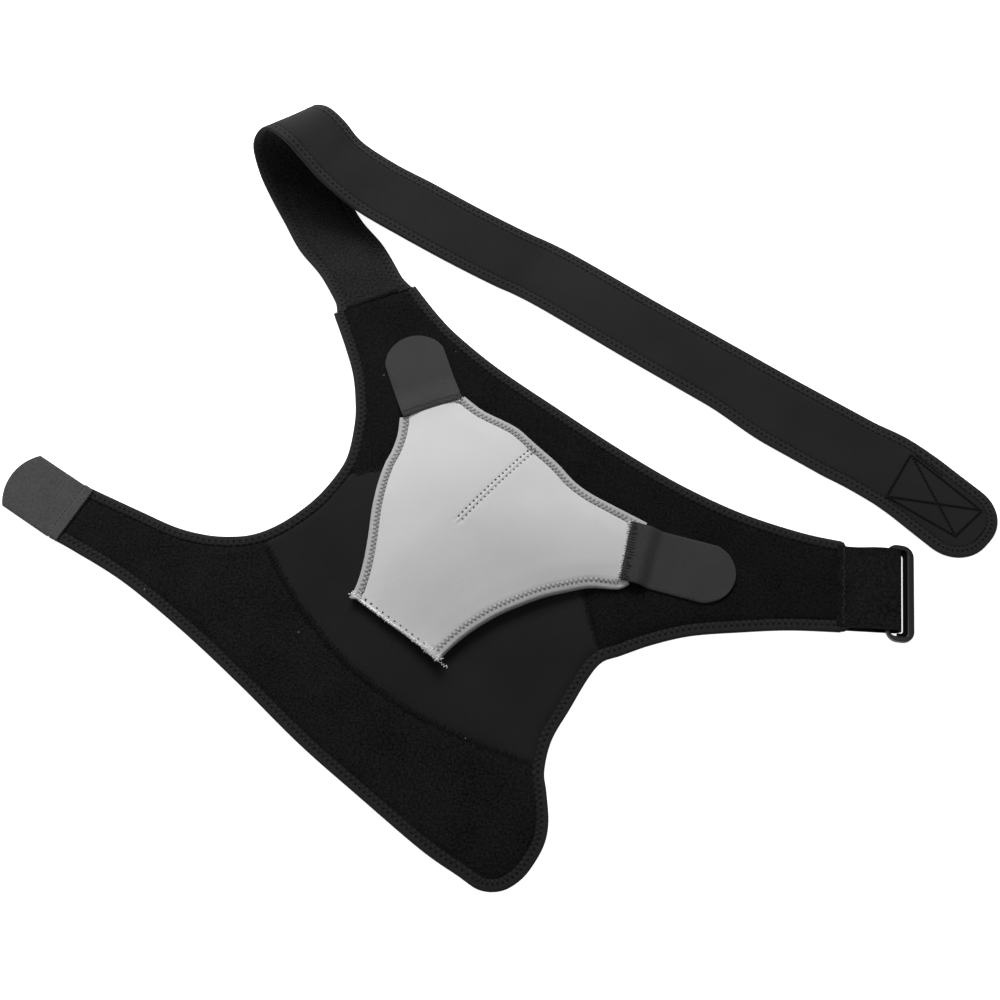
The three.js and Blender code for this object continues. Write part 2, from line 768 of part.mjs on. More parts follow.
function pressurePad() {
  const seat = clothThick + clear;
  const left = route(padLeft.map(padPoint), edgeStep);
  const lower = route(padLower.map(padPoint), edgeStep);
  const upper = route(padUpper.map(padPoint), edgeStep);
  const straight = (from, to) => route([from, middle(from, to), to], edgeStep).slice(1, -1);
  const endOf = (steps) => steps[steps.length - 1].at;
  const around = [
    ...left,
    ...straight(endOf(left), lower[0].at),
    ...lower,
    ...straight(endOf(lower), upper[0].at),
    ...upper,
    ...straight(endOf(upper), left[0].at),
  ];
  const rise = padRise(insetPoints(around, 0));
  const place = (x, y, up) => new THREE.Vector3(x, y, seat + rise(x, y) + up);

  const wall = bindWall + clear;
  const rim = insetPoints(around, wall);
  const step = insetPoints(around, padTapeWide + clear);
  const ringAt = (points, share, up) => points.map((p) => place(p.x * share, p.y * share, up));
  const rings = [
    ...padRings.map((share) => ringAt(step, share, 0)).reverse(),
    ringAt(step, 1, 0),
    ringAt(step, 1, wall),
    ringAt(rim, 1, wall),
    ringAt(rim, 1, padEdgeThick - wall),
    ringAt(step, 1, padEdgeThick - wall),
    ringAt(step, 1, padThick - padSoft),
    ...padRings.map((share) => ringAt(step, share, padThick)),
  ];
  const size = around.length;
  const positions = rings.flat().flatMap((p) => [p.x, p.y, p.z]);
  const crownLow = positions.length / 3;
  positions.push(0, 0, place(0, 0, 0).z, 0, 0, place(0, 0, padThick).z);
  const faces = [];
  for (let ring = 0; ring + 1 < rings.length; ring += 1) {
    for (let i = 0; i < size; i += 1) {
      const a = ring * size + i;
      const b = ring * size + ((i + 1) % size);
      faces.push(a, b, b + size, a, b + size, a + size);
    }
  }
  const top = (rings.length - 1) * size;
  for (let i = 0; i < size; i += 1) {
    const next = (i + 1) % size;
    faces.push(crownLow, next, i, crownLow + 1, top + i, top + next);
  }
  piece('pressure_pad', facingOut(positions, faces), padKnit);

  const section = tapeSection(padTapeWide, padEdgeThick);
  piece('pad_binding_left', sweep(left, section, place), padTape);
  piece('pad_binding_lower', sweep(lower, section, place), padTape);
  piece('pad_binding_upper', sweep(upper, section, place), padTape);

  const padTab = (name, from, to, wide, long, round, angle) => {
    const edge = to.clone().sub(from).normalize();
    const outward = new THREE.Vector2(edge.y, -edge.x);
    const base = middle(from, to).addScaledVector(outward, clear);
    hookTab(name, base, edge.multiplyScalar(wide), long, round, angle, () => seat);
  };
  const sideTab = [sideTabWide, sideTabLong, sideTabRound, sideTabHeading];
  const topTab = [topTabWide, topTabLong, topTabRound, topTabHeading];
  padTab('pad_tab_side', endOf(lower), upper[0].at, ...sideTab);
  padTab('pad_tab_top', endOf(upper), left[0].at, ...topTab);
}

bodyPanels();
armTab();
chestStrap();
ringKeeper();
strapRing();
pressurePad();

export default brace;
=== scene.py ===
"""Shoulder brace laid open on a pale floor, inner face up.
Tables are in millimetres or in shares of the named sizes; meshes are made in metres."""
import math
import random

import bmesh
import bpy
import numpy as np
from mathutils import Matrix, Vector
from mathutils.geometry import delaunay_2d_cdt


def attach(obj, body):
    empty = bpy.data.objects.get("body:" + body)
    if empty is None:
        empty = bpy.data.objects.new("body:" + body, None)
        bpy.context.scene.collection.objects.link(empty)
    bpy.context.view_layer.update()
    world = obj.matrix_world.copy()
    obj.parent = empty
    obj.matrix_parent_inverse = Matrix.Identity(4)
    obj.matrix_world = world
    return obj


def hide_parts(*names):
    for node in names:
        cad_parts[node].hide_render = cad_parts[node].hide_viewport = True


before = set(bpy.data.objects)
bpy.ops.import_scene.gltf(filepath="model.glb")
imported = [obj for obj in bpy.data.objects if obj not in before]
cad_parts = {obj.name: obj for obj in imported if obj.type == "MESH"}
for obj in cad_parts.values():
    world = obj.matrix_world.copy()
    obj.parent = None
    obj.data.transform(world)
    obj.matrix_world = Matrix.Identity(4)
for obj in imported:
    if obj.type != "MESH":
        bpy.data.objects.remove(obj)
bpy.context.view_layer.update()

MM = 0.001
UP = Vector((0, 0, 1))

# Sizes that the solids have too
BODY_LONG = 640
BODY_HIGH = 515
CLOTH = 3.6
BIND_WIDE = 9
TAPE_WALL = 0.8
CLEAR = 0.3
HOOK = 1.5
PATCH_LONG = 64
PATCH_WIDE = 43
PATCH_TIP = 30
PATCH_LEFT = 22
STRAP_WIDE = 61
PADDLE_WIDE = 66.5
PADDLE_LONG = 94
PADDLE_FLARE = 36
ROOT_BEND = 7.5
LOOP_REACH = 165
LOOP_HIGH = 47
PASS_AHEAD = 40
PASS_ASIDE = 65
TIP_TURN = 9.4
TIP_TURN_LONG = 26
KEEPER_WIDE = 67.5
KEEPER_LONG = 44.2
WEB_THICK = 1.6
KEEPER_RAMP = 18
RING_LONG = 80.4
RING_WIDE = 22.4
RING_THICK = 4.5
RING_ROUND = 9
RING_ARM = 4.2
HELD_BAR = 5
FREE_BAR = 6.7
SLOT_LEFT = 5
SLOT_ROUND = 3
RING_SLIP = 1.6
PAD_WIDE = 231
PAD_HIGH = 228
PAD_THICK = 5.5
PAD_DOME = 12
PAD_TAPE = 8
SEAT = CLOTH + CLEAR

# Sizes of the dressed pieces alone; the strap is a little shorter and rounder than its solid
STRAP_LONG = 902.5
PADDLE_ROUND = 30
OUTER_ROW = 4.8
INNER_ROW = 8.6
RIM = 5.4
SHELF = 2.7
SHELF_SUNK = 0.7
PAD_TAPE_HIGH = 4.5
PAD_CUT_HIGH = 4.6

# Edges as (right, up) shares of the body's length and height
LOWER_EDGE = [
    (-0.500, -0.031), (-0.467, -0.054), (-0.402, -0.105), (-0.325, -0.183), (-0.252, -0.266),
    (-0.177, -0.356), (-0.105, -0.433), (-0.034, -0.507), (0.008, -0.543), (0.033, -0.563),
    (0.058, -0.564), (0.080, -0.548), (0.096, -0.523), (0.107, -0.496), (0.111, -0.466),
    (0.109, -0.425), (0.107, -0.395), (0.116, -0.350), (0.138, -0.303), (0.160, -0.257),
    (0.177, -0.232), (0.199, -0.222), (0.237, -0.205), (0.284, -0.191), (0.345, -0.185),
    (0.403, -0.182), (0.464, -0.185),
]
UPPER_EDGE = [
    (0.477, -0.038), (0.427, -0.023), (0.355, 0.010), (0.281, 0.059), (0.207, 0.121),
    (0.132, 0.191), (0.057, 0.263), (0.003, 0.325), (-0.027, 0.369), (-0.057, 0.423),
]
ARMHOLE_EDGE = [
    (-0.164, 0.369), (-0.147, 0.308), (-0.135, 0.255), (-0.130, 0.203), (-0.130, 0.165),
    (-0.136, 0.113), (-0.147, 0.081), (-0.169, 0.042), (-0.193, 0.013), (-0.220, -0.011),
    (-0.248, -0.026), (-0.276, -0.030), (-0.307, -0.027), (-0.345, -0.014), (-0.393, 0.014),
    (-0.461, 0.055),
]
SHOULDER_SEAM = [
    (-0.185, 0.062), (-0.145, 0.072), (-0.090, 0.084), (-0.020, 0.075), (0.050, 0.040),
    (0.110, -0.020), (0.148, -0.095), (0.166, -0.170), (0.177, -0.232), (0.187, -0.290),
]
CUFF_SEAM = [
    (-0.243, 0.012), (-0.232, -0.035), (-0.219, -0.074), (-0.184, -0.147), (-0.132, -0.226),
    (-0.067, -0.293), (-0.006, -0.335), (0.055, -0.368), (0.092, -0.385), (0.140, -0.404),
]
# The pad's edges, as shares of its own width and height
PAD_LEFT = [
    (-0.199, 0.386), (-0.205, 0.318), (-0.222, 0.256), (-0.245, 0.205), (-0.267, 0.130),
    (-0.284, 0.035), (-0.294, -0.075), (-0.306, -0.170), (-0.322, -0.243), (-0.342, -0.296),
]
PAD_LOWER = [
    (-0.048, -0.526), (0.000, -0.474), (0.061, -0.422), (0.139, -0.370), (0.216, -0.333),
    (0.299, -0.300), (0.377, -0.280), (0.459, -0.264), (0.550, -0.268), (0.589, -0.250),
]
PAD_UPPER = [
    (0.658, -0.026), (0.545, 0.040), (0.468, 0.086), (0.411, 0.134), (0.355, 0.204),
    (0.281, 0.279), (0.221, 0.340), (0.173, 0.371), (0.095, 0.415), (0.030, 0.472),
]
# The strap's fold: shares of its reach ahead and aside, share of its height, and its turn and tilt in degrees
FOLD_ROUTE = [
    (0.270, 0.010, 0.00, 0, 0), (0.475, -0.015, 0.00, 0, 0), (0.684, -0.006, 0.00, 0, 0),
    (0.824, -0.006, 0.07, 1, 5), (0.959, -0.006, 0.20, 3, 15), (1.072, 0.014, 0.48, 8, 24),
    (1.078, 0.074, 0.87, 20, 24), (0.978, 0.127, 1.00, 25, 16), (0.869, 0.168, 0.84, 26, 11),
    (0.753, 0.204, 0.63, 29, 11), (0.566, 0.294, 0.43, 30, 4), (0.326, 0.434, 0.32, 31, 0),
    (0.079, 0.586, 0.19, 31, 0), (-0.146, 0.738, 0.06, 30, 0), (-0.253, 0.817, 0.00, 29, 0),
]

chance = random.Random(7)


# Lines and distances
def spots(rows, wide, high):
    return [Vector((right * wide, up * high)) for right, up in rows]


def lengths_along(line):
    lengths = [0.0]
    for a, b in zip(line, line[1:]):
        lengths.append(lengths[-1] + (b - a).length)
    return lengths


def evenly(fine, step):
    """The same line in even steps, of about the given length."""
    lengths = lengths_along(fine)
    count = max(2, round(lengths[-1] / step))
    line = []
    k = 0
    for i in range(count + 1):
        want = lengths[-1] * i / count
        while k < len(fine) - 2 and lengths[k + 1] < want:
            k += 1
        span = lengths[k + 1] - lengths[k]
        line.append(fine[k].lerp(fine[k + 1], (want - lengths[k]) / span if span else 0))
    return line


def smooth_line(points, step):
    """The spline that the solids follow, in even steps."""
    fine = []
    last = len(points) - 1
    for i in range(last):
        before, a, b, after = points[max(i - 1, 0)], points[i], points[i + 1], points[min(i + 2, last)]
        v0 = (b - before) / 2
        v1 = (after - a) / 2
        for k in range(24):
            t = k / 24
            fine.append((2 * a - 2 * b + v0 + v1) * t**3 + (3 * b - 3 * a - 2 * v0 - v1) * t**2 + v0 * t + a)
    fine.append(points[last])
    return evenly(fine, step)


def inward(line, i):
    """The way to the left of a line that runs round its shape."""
    along = line[min(i + 1, len(line) - 1)] - line[max(i - 1, 0)]
    along.normalize()
    return Vector((-along.y, along.x))


def beside(line, i, amount):
    return line[i] + inward(line, i) * amount


def inset(line, amount):
    return [beside(line, i, amount) for i in range(len(line))]


def raised(p, up):
    """A point of the floor plan at a height."""
    return Vector((p.x, p.y, up))


def ease(x, low, high):
    """From 0 at low to 1 at high, level at both ends."""
    t = min(max((x - low) / (high - low), 0), 1)
    return t * t * (3 - 2 * t)


def gaps_to(xy, line):
    """Distance of many points from a line."""
    a = np.array([tuple(p) for p in line[:-1]])
    b = np.array([tuple(p) for p in line[1:]])
    ab = b - a
    best = np.full(len(xy), 1e9)
    for start in range(0, len(xy), 2000):
        part = xy[start : start + 2000, None, :]
        t = ((part - a) * ab).sum(2) / (ab**2).sum(1)
        near = a + np.clip(t, 0, 1)[..., None] * ab
        best[start : start + 2000] = np.sqrt(((part - near) ** 2).sum(2)).min(1)
    return best


def inside(xy, loop):
    ring = np.array([tuple(p) for p in loop])
    x, y = xy[:, 0:1], xy[:, 1:2]
    x0, y0 = ring[:, 0], ring[:, 1]
    x1, y1 = np.roll(x0, -1), np.roll(y0, -1)
    crosses = ((y0 > y) != (y1 > y)) & (x < (x1 - x0) * (y - y0) / (y1 - y0 + 1e-12) + x0)
    return crosses.sum(1) % 2 == 1


def rise_and_fall(x, y):
    """The slow waves in cloth that lies loose, from 0 to 1."""
    wave = math.sin(x / 41 + 1.3 * math.sin(y / 57)) + math.sin(y / 33 - x / 71 + 0.8)
    return 0.5 + wave / 4


# Meshes
def make_piece(name, verts, faces, materials, kinds=None, uvs=None):
    mesh = bpy.data.meshes.new(name)
    mesh.from_pydata([tuple(Vector(v) * MM) for v in verts], [], faces)
    for material in materials:
        mesh.materials.append(material)
    if kinds is not None:
        mesh.polygons.foreach_set("material_index", kinds)
    if uvs is not None:
        layer = mesh.uv_layers.new(name="cloth")
        for loop in mesh.loops:
            u, v = uvs[loop.vertex_index]
            layer.data[loop.index].uv = (u * MM, v * MM)
    mesh.polygons.foreach_set("use_smooth", [True] * len(mesh.polygons))
    mesh.validate()
    mesh.update()
    piece = bpy.data.objects.new(name, mesh)
    bpy.context.collection.objects.link(piece)
    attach(piece, "brace")
    return piece


def turn_outwards(piece):
    work = bmesh.new()
    work.from_mesh(piece.data)
    bmesh.ops.recalc_face_normals(work, faces=work.faces)
    work.to_mesh(piece.data)
    work.free()


def sharpen(piece, degrees):
    bpy.ops.object.select_all(action="DESELECT")
    piece.select_set(True)
    bpy.context.view_layer.objects.active = piece
    bpy.ops.object.shade_smooth_by_angle(angle=math.radians(degrees))
    piece.select_set(False)


def node_piece(name, verts, faces, materials, node, sharp=None, kinds=None, uvs=None):
    """A piece that stands for a node of the solids."""
    piece = make_piece(name, verts, faces, materials, kinds, uvs)
    turn_outwards(piece)
    if sharp:
        sharpen(piece, sharp)
    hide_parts(node)
    return piece


def strip(start, rows, size, last):
    """Quads between rows of vertices, round a section or, with last one less than its size, open."""
    return [
        (start + r * size + i, start + r * size + (i + 1) % size,
         start + (r + 1) * size + (i + 1) % size, start + (r + 1) * size + i)
        for r in range(rows - 1) for i in range(last)
    ]


def caps(start, rows, size):
    end = start + (rows - 1) * size
    return [tuple(range(start + size - 1, start - 1, -1)), tuple(range(end, end + size))]


def layered(rows, columns, plain):
    """Two layers of rows by columns, the plain one not reversed, with their sides and ends."""
    layer = rows * columns
    faces = []
    for top in (0, 1):
        quads = strip(top * layer, rows, columns, columns - 1)
        faces += quads if top == plain else [face[::-1] for face in quads]
    faces += [
        (a, a + columns, a + columns + layer, a + layer)
        for r in range(rows - 1) for a in (r * columns, (r + 1) * columns - 1)
    ]
    for r in (0, rows - 1):
        for a in range(r * columns, (r + 1) * columns - 1):
            faces.append((a, a + 1, a + 1 + layer, a + layer))
    return faces


def twice_area(xy, face):
    a, b, c = (xy[k] for k in face)
    return (b - a)[0] * (c - a)[1] - (b - a)[1] * (c - a)[0]


def slab(xy, triangles):
    """Faces of a closed sheet over flat triangles, its tops first, and 0 for those on top."""
    count = len(xy)
    faces, kinds, sides = [], [], {}
    for face in triangles:
        a, b, c = face
        if twice_area(xy, face) < 0:
            b, c = c, b
        faces += [(a, b, c), (c + count, b + count, a + count)]
        kinds += [0, 1]
        sides.update({(a, b): 1, (b, c): 1, (c, a): 1})
    for u, v in sides:
        if (v, u) not in sides:
            faces.append((u, u + count, v + count, v))
            kinds.append(1)
    return faces, kinds


def carried(name, section, stations, place, material, node):
    """A node's piece: a closed section of (across, up) carried through (run length, station) pairs."""
    verts = [place(station, across, up) for _, station in stations for across, up in section]
    uvs = [(run, across if up > CLOTH / 2 else -across) for run, _ in stations for across, up in section]
    size = len(section)
    faces = strip(0, len(stations), size, size) + caps(0, len(stations), size)
    return node_piece(name, verts, faces, [material], node, 50, uvs=uvs)


def threads(name, lines, radius, material, sides=5):
    """Thin strands, one for each line of points in millimetres."""
    verts, faces = [], []
    for line in lines:
        start = len(verts)
        for i, p in enumerate(line):
            along = line[min(i + 1, len(line) - 1)] - line[max(i - 1, 0)]
            if along.length < 1e-6:
                along = Vector((1, 0, 0))
            along.normalize()
            side = along.cross(UP if abs(along.z) < 0.9 else Vector((1, 0, 0))).normalized()
            over = side.cross(along)
            for k in range(sides):
                turn = 2 * math.pi * k / sides
                verts.append(p + (side * math.cos(turn) + over * math.sin(turn)) * radius)
        faces += strip(start, len(line), sides, sides) + caps(start, len(line), sides)
    piece = make_piece(name, verts, faces, [material])
    turn_outwards(piece)
    return piece


def stitch(a, b, lift):
    """One stitch that stands proud between two needle holes."""
    middle = [a.lerp(b, share) + lift * rise for share, rise in ((0.22, 0.5), (0.5, 1), (0.78, 0.5))]
    return [a - lift * 0.6, *middle, b - lift * 0.6]


def row_of_stitches(a, b, pitch, lift, gap):
    count = max(1, round((b - a).length / pitch))
    return [
        stitch(a.lerp(b, (i + gap / 2) / count), a.lerp(b, (i + 1 - gap / 2) / count), UP * lift)
        for i in range(count)
    ]


# Shared effects
def effect(name, build, **inputs):
    """A shared group that gives a colour and a height from a place, two colours and its own values."""
    tree = bpy.data.node_groups.new(name, "ShaderNodeTree")
    tree.interface.new_socket("Vector", in_out="INPUT", socket_type="NodeSocketVector")
    for label, value in {**inputs, "Dark": (0, 0, 0, 1), "Light": (1, 1, 1, 1)}.items():
        kind = "NodeSocketFloat" if isinstance(value, float) else "NodeSocketColor"
        socket = tree.interface.new_socket(label.replace("_", " "), in_out="INPUT", socket_type=kind)
        socket.default_value = value
    for label, kind in (("Color", "NodeSocketColor"), ("Height", "NodeSocketFloat")):
        tree.interface.new_socket(label, in_out="OUTPUT", socket_type=kind)
    build(tree, tree.nodes.new("NodeGroupInput").outputs, tree.nodes.new("NodeGroupOutput").inputs)
    return tree


def feed(tree, socket, value):
    """Gives a socket a constant, or links another node's output to it."""
    if isinstance(value, bpy.types.NodeSocket):
        tree.links.new(value, socket)
    else:
        socket.default_value = value


def math_node(tree, operation, *values):
    node = tree.nodes.new("ShaderNodeMath")
    node.operation = operation
    for socket, value in zip(node.inputs, values):
        feed(tree, socket, value)
    return node.outputs[0]


def times(tree, a, b):
    return math_node(tree, "MULTIPLY", a, b)


def shared_out(tree, share, a, b):
    """One value by its share, and the other by the rest."""
    return math_node(tree, "MULTIPLY_ADD", a, share, times(tree, b, 1 - share))


def noise_node(tree, vector, scale, detail, rough):
    node = tree.nodes.new("ShaderNodeTexNoise")
    for label, value in (("Vector", vector), ("Scale", scale), ("Detail", detail), ("Roughness", rough)):
        feed(tree, node.inputs[label], value)
    return node.outputs["Fac"]


def blend_node(tree, share, a, b):
    node = tree.nodes.new("ShaderNodeMix")
    node.data_type = "RGBA"
    for socket, value in zip((node.inputs[0], node.inputs[6], node.inputs[7]), (share, a, b)):
        feed(tree, socket, value)
    return node.outputs[2]


def spread(tree, value, low, high):
    """A value stretched from low..high to 0..1."""
    node = tree.nodes.new("ShaderNodeMapRange")
    for label, fed in (("Value", value), ("From Min", low), ("From Max", high)):
        feed(tree, node.inputs[label], fed)
    return node.outputs["Result"]


def build_pile(tree, given, made):
    """Brushed loops: fine tufts, and slow patches where the nap lies another way."""
    tufts = noise_node(tree, given["Vector"], given["Tufts"], 3, 0.75)
    patches = noise_node(tree, given["Vector"], given["Patches"], 2, 0.6)
    share = shared_out(tree, 0.2, spread(tree, patches, 0.3, 0.7), spread(tree, tufts, 0.35, 0.66))
    feed(tree, made["Color"], blend_node(tree, share, given["Dark"], given["Light"]))
    feed(tree, made["Height"], tufts)


def build_knit(tree, given, made):
    """Fine jersey: wales and courses too small to see one by one, under a slow unevenness."""
    split = tree.nodes.new("ShaderNodeSeparateXYZ")
    feed(tree, split.inputs[0], given["Vector"])
    turn = math_node(tree, "DIVIDE", 2 * math.pi, given["Pitch"])
    wales = math_node(tree, "SINE", times(tree, split.outputs["X"], turn))
    courses = math_node(tree, "SINE", times(tree, split.outputs["Y"], turn))
    loops = math_node(tree, "MULTIPLY_ADD", times(tree, wales, courses), 0.5, 0.5)
    fibre = noise_node(tree, given["Vector"], given["Fibre"], 3, 0.7)
    slow = noise_node(tree, given["Vector"], 14, 2, 0.5)
    height = shared_out(tree, 0.5, loops, fibre)
    share = shared_out(tree, 0.4, spread(tree, slow, 0.3, 0.7), spread(tree, height, 0.2, 0.8))
    feed(tree, made["Color"], blend_node(tree, share, given["Dark"], given["Light"]))
    feed(tree, made["Height"], height)


def build_ribs(tree, given, made):
    """Woven tape along its own run: fine ribs, two rows of needle holes and the groove past them, with
    painted shade darkening the holes and the groove.
    """
    split = tree.nodes.new("ShaderNodeSeparateXYZ")
    feed(tree, split.inputs[0], given["Vector"])
    run = split.outputs["X"]
    across = math_node(tree, "ABSOLUTE", split.outputs["Y"])
    ribs = math_node(tree, "SINE", times(tree, run, 2 * math.pi / RIB_PITCH))
    cords = math_node(tree, "SINE", times(tree, across, 2 * math.pi / CORD_PITCH))
    weave = math_node(tree, "MULTIPLY_ADD", math_node(tree, "ADD", ribs, cords), 0.25, 0.5)
    grain = noise_node(tree, given["Vector"], 900, 2, 0.6)
    drift = noise_node(tree, given["Vector"], 260, 2, 0.6)
    share = shared_out(tree, 0.3, weave, spread(tree, grain, 0.3, 0.7))
    rows = []
    for start, shift in ((given["Outer Row"], 0.0), (given["Inner Row"], 0.5)):
        step = math_node(tree, "ADD", math_node(tree, "DIVIDE", run, given["Pitch"]), shift)
        step = math_node(tree, "SUBTRACT", math_node(tree, "FRACT", step), 0.5)
        along = times(tree, step, given["Pitch"])
        aside = math_node(tree, "SUBTRACT", across, start)
        gap = math_node(tree, "ADD", times(tree, along, along), times(tree, aside, aside))
        rows.append(spread(tree, math_node(tree, "SQRT", gap), HOLE_EDGE, HOLE_CORE))
    past = math_node(tree, "SUBTRACT", across, given["Inner Row"])
    groove = times(tree, spread(tree, past, -0.0006, 0.0001), spread(tree, drift, 0.3, 0.6))
    holes = math_node(tree, "MAXIMUM", math_node(tree, "MAXIMUM", *rows), groove)
    # Painted shade: the cloth's colour darkens toward the hole colour in the needle holes and along the
    # groove
    hole_shade_depth = times(tree, holes, spread(tree, drift, 0.05, 0.45))
    cloth = blend_node(tree, share, given["Dark"], given["Light"])
    feed(tree, made["Color"], blend_node(tree, hole_shade_depth, cloth, given["Hole"]))
    feed(tree, made["Height"], math_node(tree, "SUBTRACT", weave, times(tree, holes, 1.5)))


# In metres, as the shaders measure
RIB_PITCH = 0.0011
CORD_PITCH = 0.0009
HOLE_EDGE = 0.0016
HOLE_CORE = 0.0005
pile_effect = effect("brushed pile", build_pile, Tufts=900.0, Patches=30.0)
knit_effect = effect("fine knit", build_knit, Pitch=0.0014, Fibre=700.0)
tape_effect = effect("woven tape", build_ribs, Pitch=0.0046, Outer_Row=OUTER_ROW * MM,
                     Inner_Row=INNER_ROW * MM, Hole=(0, 0, 0, 1))


def grey(value):
    return (value, value, value, 1)


def bare_material(name, rough, gloss):
    material = bpy.data.materials.new(name)
    material.use_nodes = True
    shader = material.node_tree.nodes["Principled BSDF"].inputs
    shader["Roughness"].default_value = rough
    shader["Specular IOR Level"].default_value = gloss
    return material, material.node_tree, shader


def add_relief(tree, shader, height, strength, distance):
    relief = tree.nodes.new("ShaderNodeBump")
    for label, value in (("Strength", strength), ("Distance", distance), ("Height", height)):
        feed(tree, relief.inputs[label], value)
    feed(tree, shader["Normal"], relief.outputs["Normal"])


def cloth_material(name, shared, dark, light, rough, gloss, sheen, bump, **values):
    """Cloth in two greys; tape follows its own run and the rest its place."""
    material, tree, shader = bare_material(name, rough, gloss)
    node = tree.nodes.new("ShaderNodeGroup")
    node.node_tree = shared
    where = tree.nodes.new("ShaderNodeTexCoord").outputs["UV" if shared == tape_effect else "Object"]
    for label, value in {"Vector": where, "Dark": grey(dark), "Light": grey(light), **values}.items():
        feed(tree, node.inputs[label.replace("_", " ")], value)
    feed(tree, shader["Base Color"], node.outputs["Color"])
    add_relief(tree, shader, node.outputs["Height"], bump, 0.0006)
    shader["Sheen Weight"].default_value = sheen
    shader["Sheen Roughness"].default_value = 0.6
    return material


def thread_material(name, value, rough=0.8, gloss=0.15):
    """Spun thread, uneven along its strands."""
    material, tree, shader = bare_material(name, rough, gloss)
    where = tree.nodes.new("ShaderNodeTexCoord").outputs["Object"]
    uneven = noise_node(tree, where, 1500, 2, 0.6)
    share = spread(tree, uneven, 0.3, 0.7)
    feed(tree, shader["Base Color"], blend_node(tree, share, grey(value * 0.7), grey(min(1, value * 1.3))))
    add_relief(tree, shader, uneven, 0.3, 0.0002)
    return material


NAP = {"Tufts": 540.0, "Patches": 24.0}
HOOKS = {"Tufts": 1100.0, "Patches": 45.0}
# The near-black hole colour of the black tapes is painted shade in their needle holes and groove
HOLE_SHADE = {"Hole": grey(0.001)}
# Name, effect, dark, light, roughness, gloss, sheen, relief
shoulder_velour = cloth_material("shoulder velour", pile_effect, 0.0, 0.0108, 1.0, 0.05, 0.01, 1.0, **NAP)
velour = cloth_material("velour", pile_effect, 0.0, 0.0145, 1.0, 0.05, 0.01, 1.0, **NAP)
# A lighter copy of the velour: painted light that lifts the strap's inner side in the shade of its fold
strap_velour_lit = cloth_material("strap velour painted light", pile_effect, 0.001, 0.025, 1.0, 0.06, 0.02, 1.0, **NAP)
keeper_velour = cloth_material("keeper velour", pile_effect, 0.0002, 0.0145, 1.0, 0.06, 0.01, 1.0,
                               Tufts=520.0, Patches=40.0)
jersey = cloth_material("jersey", knit_effect, 0.0056, 0.0142, 0.9, 0.1, 0.02, 0.6)
strap_jersey = cloth_material("strap jersey", knit_effect, 0.0068, 0.0172, 0.9, 0.12, 0.02, 0.5)
under_jersey = cloth_material("under jersey", knit_effect, 0.012, 0.02, 0.9, 0.12, 0.02, 0.25)
black_tape = cloth_material("black tape", tape_effect, 0.009, 0.026, 0.9, 0.1, 0.02, 0.5, **HOLE_SHADE)
strap_tape = cloth_material("strap tape", tape_effect, 0.011, 0.026, 0.9, 0.12, 0.02, 0.5, **HOLE_SHADE)
hook_tape = cloth_material("hook tape", pile_effect, 0.028, 0.048, 0.9, 0.12, 0.02, 0.5, **HOOKS)
# Darker and lighter copies of the hook tape: painted shade on the side tab and painted light on the arm tab,
# for how light falls on each
side_hook_tape_shaded = cloth_material("side hook tape painted shade", pile_effect, 0.025, 0.042, 0.9, 0.12, 0.02, 0.5, **HOOKS)
arm_hook_tape_lit = cloth_material("arm hook tape painted light", pile_effect, 0.036, 0.076, 0.9, 0.12, 0.03, 0.6,
                               Tufts=900.0, Patches=60.0)
pad_knit = cloth_material("pad knit", knit_effect, 0.46, 0.545, 0.9, 0.2, 0.05, 0.4,
                          Pitch=0.0012, Fibre=900.0)
# The pad tape's grey hole colour is painted shade in its needle holes and groove
pad_tape = cloth_material("pad tape", tape_effect, 0.3, 0.44, 0.85, 0.2, 0.05, 0.45,
                          Hole=grey(0.16), Pitch=0.0036, Outer_Row=0.0042, Inner_Row=0.0078)
black_thread = thread_material("black thread", 0.003)
seam_thread = thread_material("seam thread", 0.007)
edge_thread = thread_material("edge thread", 0.016)
speck_thread = thread_material("speckled thread", 0.06)
grey_thread = thread_material("grey thread", 0.2)
white_fluff = thread_material("white fluff", 0.85)
lint_fibre = thread_material("lint", 0.3)
# Dark grey rods that stand for the shade inside the pad's needle holes: painted shade
hole_shade_paint = thread_material("needle hole", 0.06)
plastic = thread_material("ring plastic", 0.008, 0.4, 0.4)
# Near-black plastic for the sunk shelf round the ring's slot: painted shade on the slot's inner wall
shelf_shade_plastic = thread_material("ring inner painted shade", 0.0012, 0.6, 0.05)

# Body panels
EDGE_STEP = 3
lower_line, upper_line, armhole_line, shoulder_seam, cuff_seam = (
    smooth_line(spots(rows, BODY_LONG, BODY_HIGH), EDGE_STEP)
    for rows in (LOWER_EDGE, UPPER_EDGE, ARMHOLE_EDGE, SHOULDER_SEAM, CUFF_SEAM)
)
edges = [lower_line, upper_line, armhole_line]


def body_ring(amount):
    return [p for line in edges for p in inset(line, amount)]


def filled(loops, seams, grid, keep):
    """Triangles inside the first loop, through all loops and seams and the grid's kept points."""
    points = [p for loop in loops for p in loop]
    outer = list(range(len(loops[0])))
    lines = []
    for seam in seams:
        start = len(points)
        points.extend(seam)
        lines += [(start + i, start + i + 1) for i in range(len(seam) - 1)]
    low = np.min([tuple(p) for p in loops[0]], axis=0)
    high = np.max([tuple(p) for p in loops[0]], axis=0)
    xs = np.arange(low[0], high[0], grid)
    ys = np.arange(low[1], high[1], grid * 0.866)
    mesh = np.array([(x + (grid / 2 if k % 2 else 0), y) for k, y in enumerate(ys) for x in xs])
    points += [Vector(p) for p in mesh[keep(mesh)]]
    out = delaunay_2d_cdt(points, lines, [outer], 1, 1e-4)
    return np.array([tuple(v) for v in out[0]]), [tuple(f) for f in out[2]]


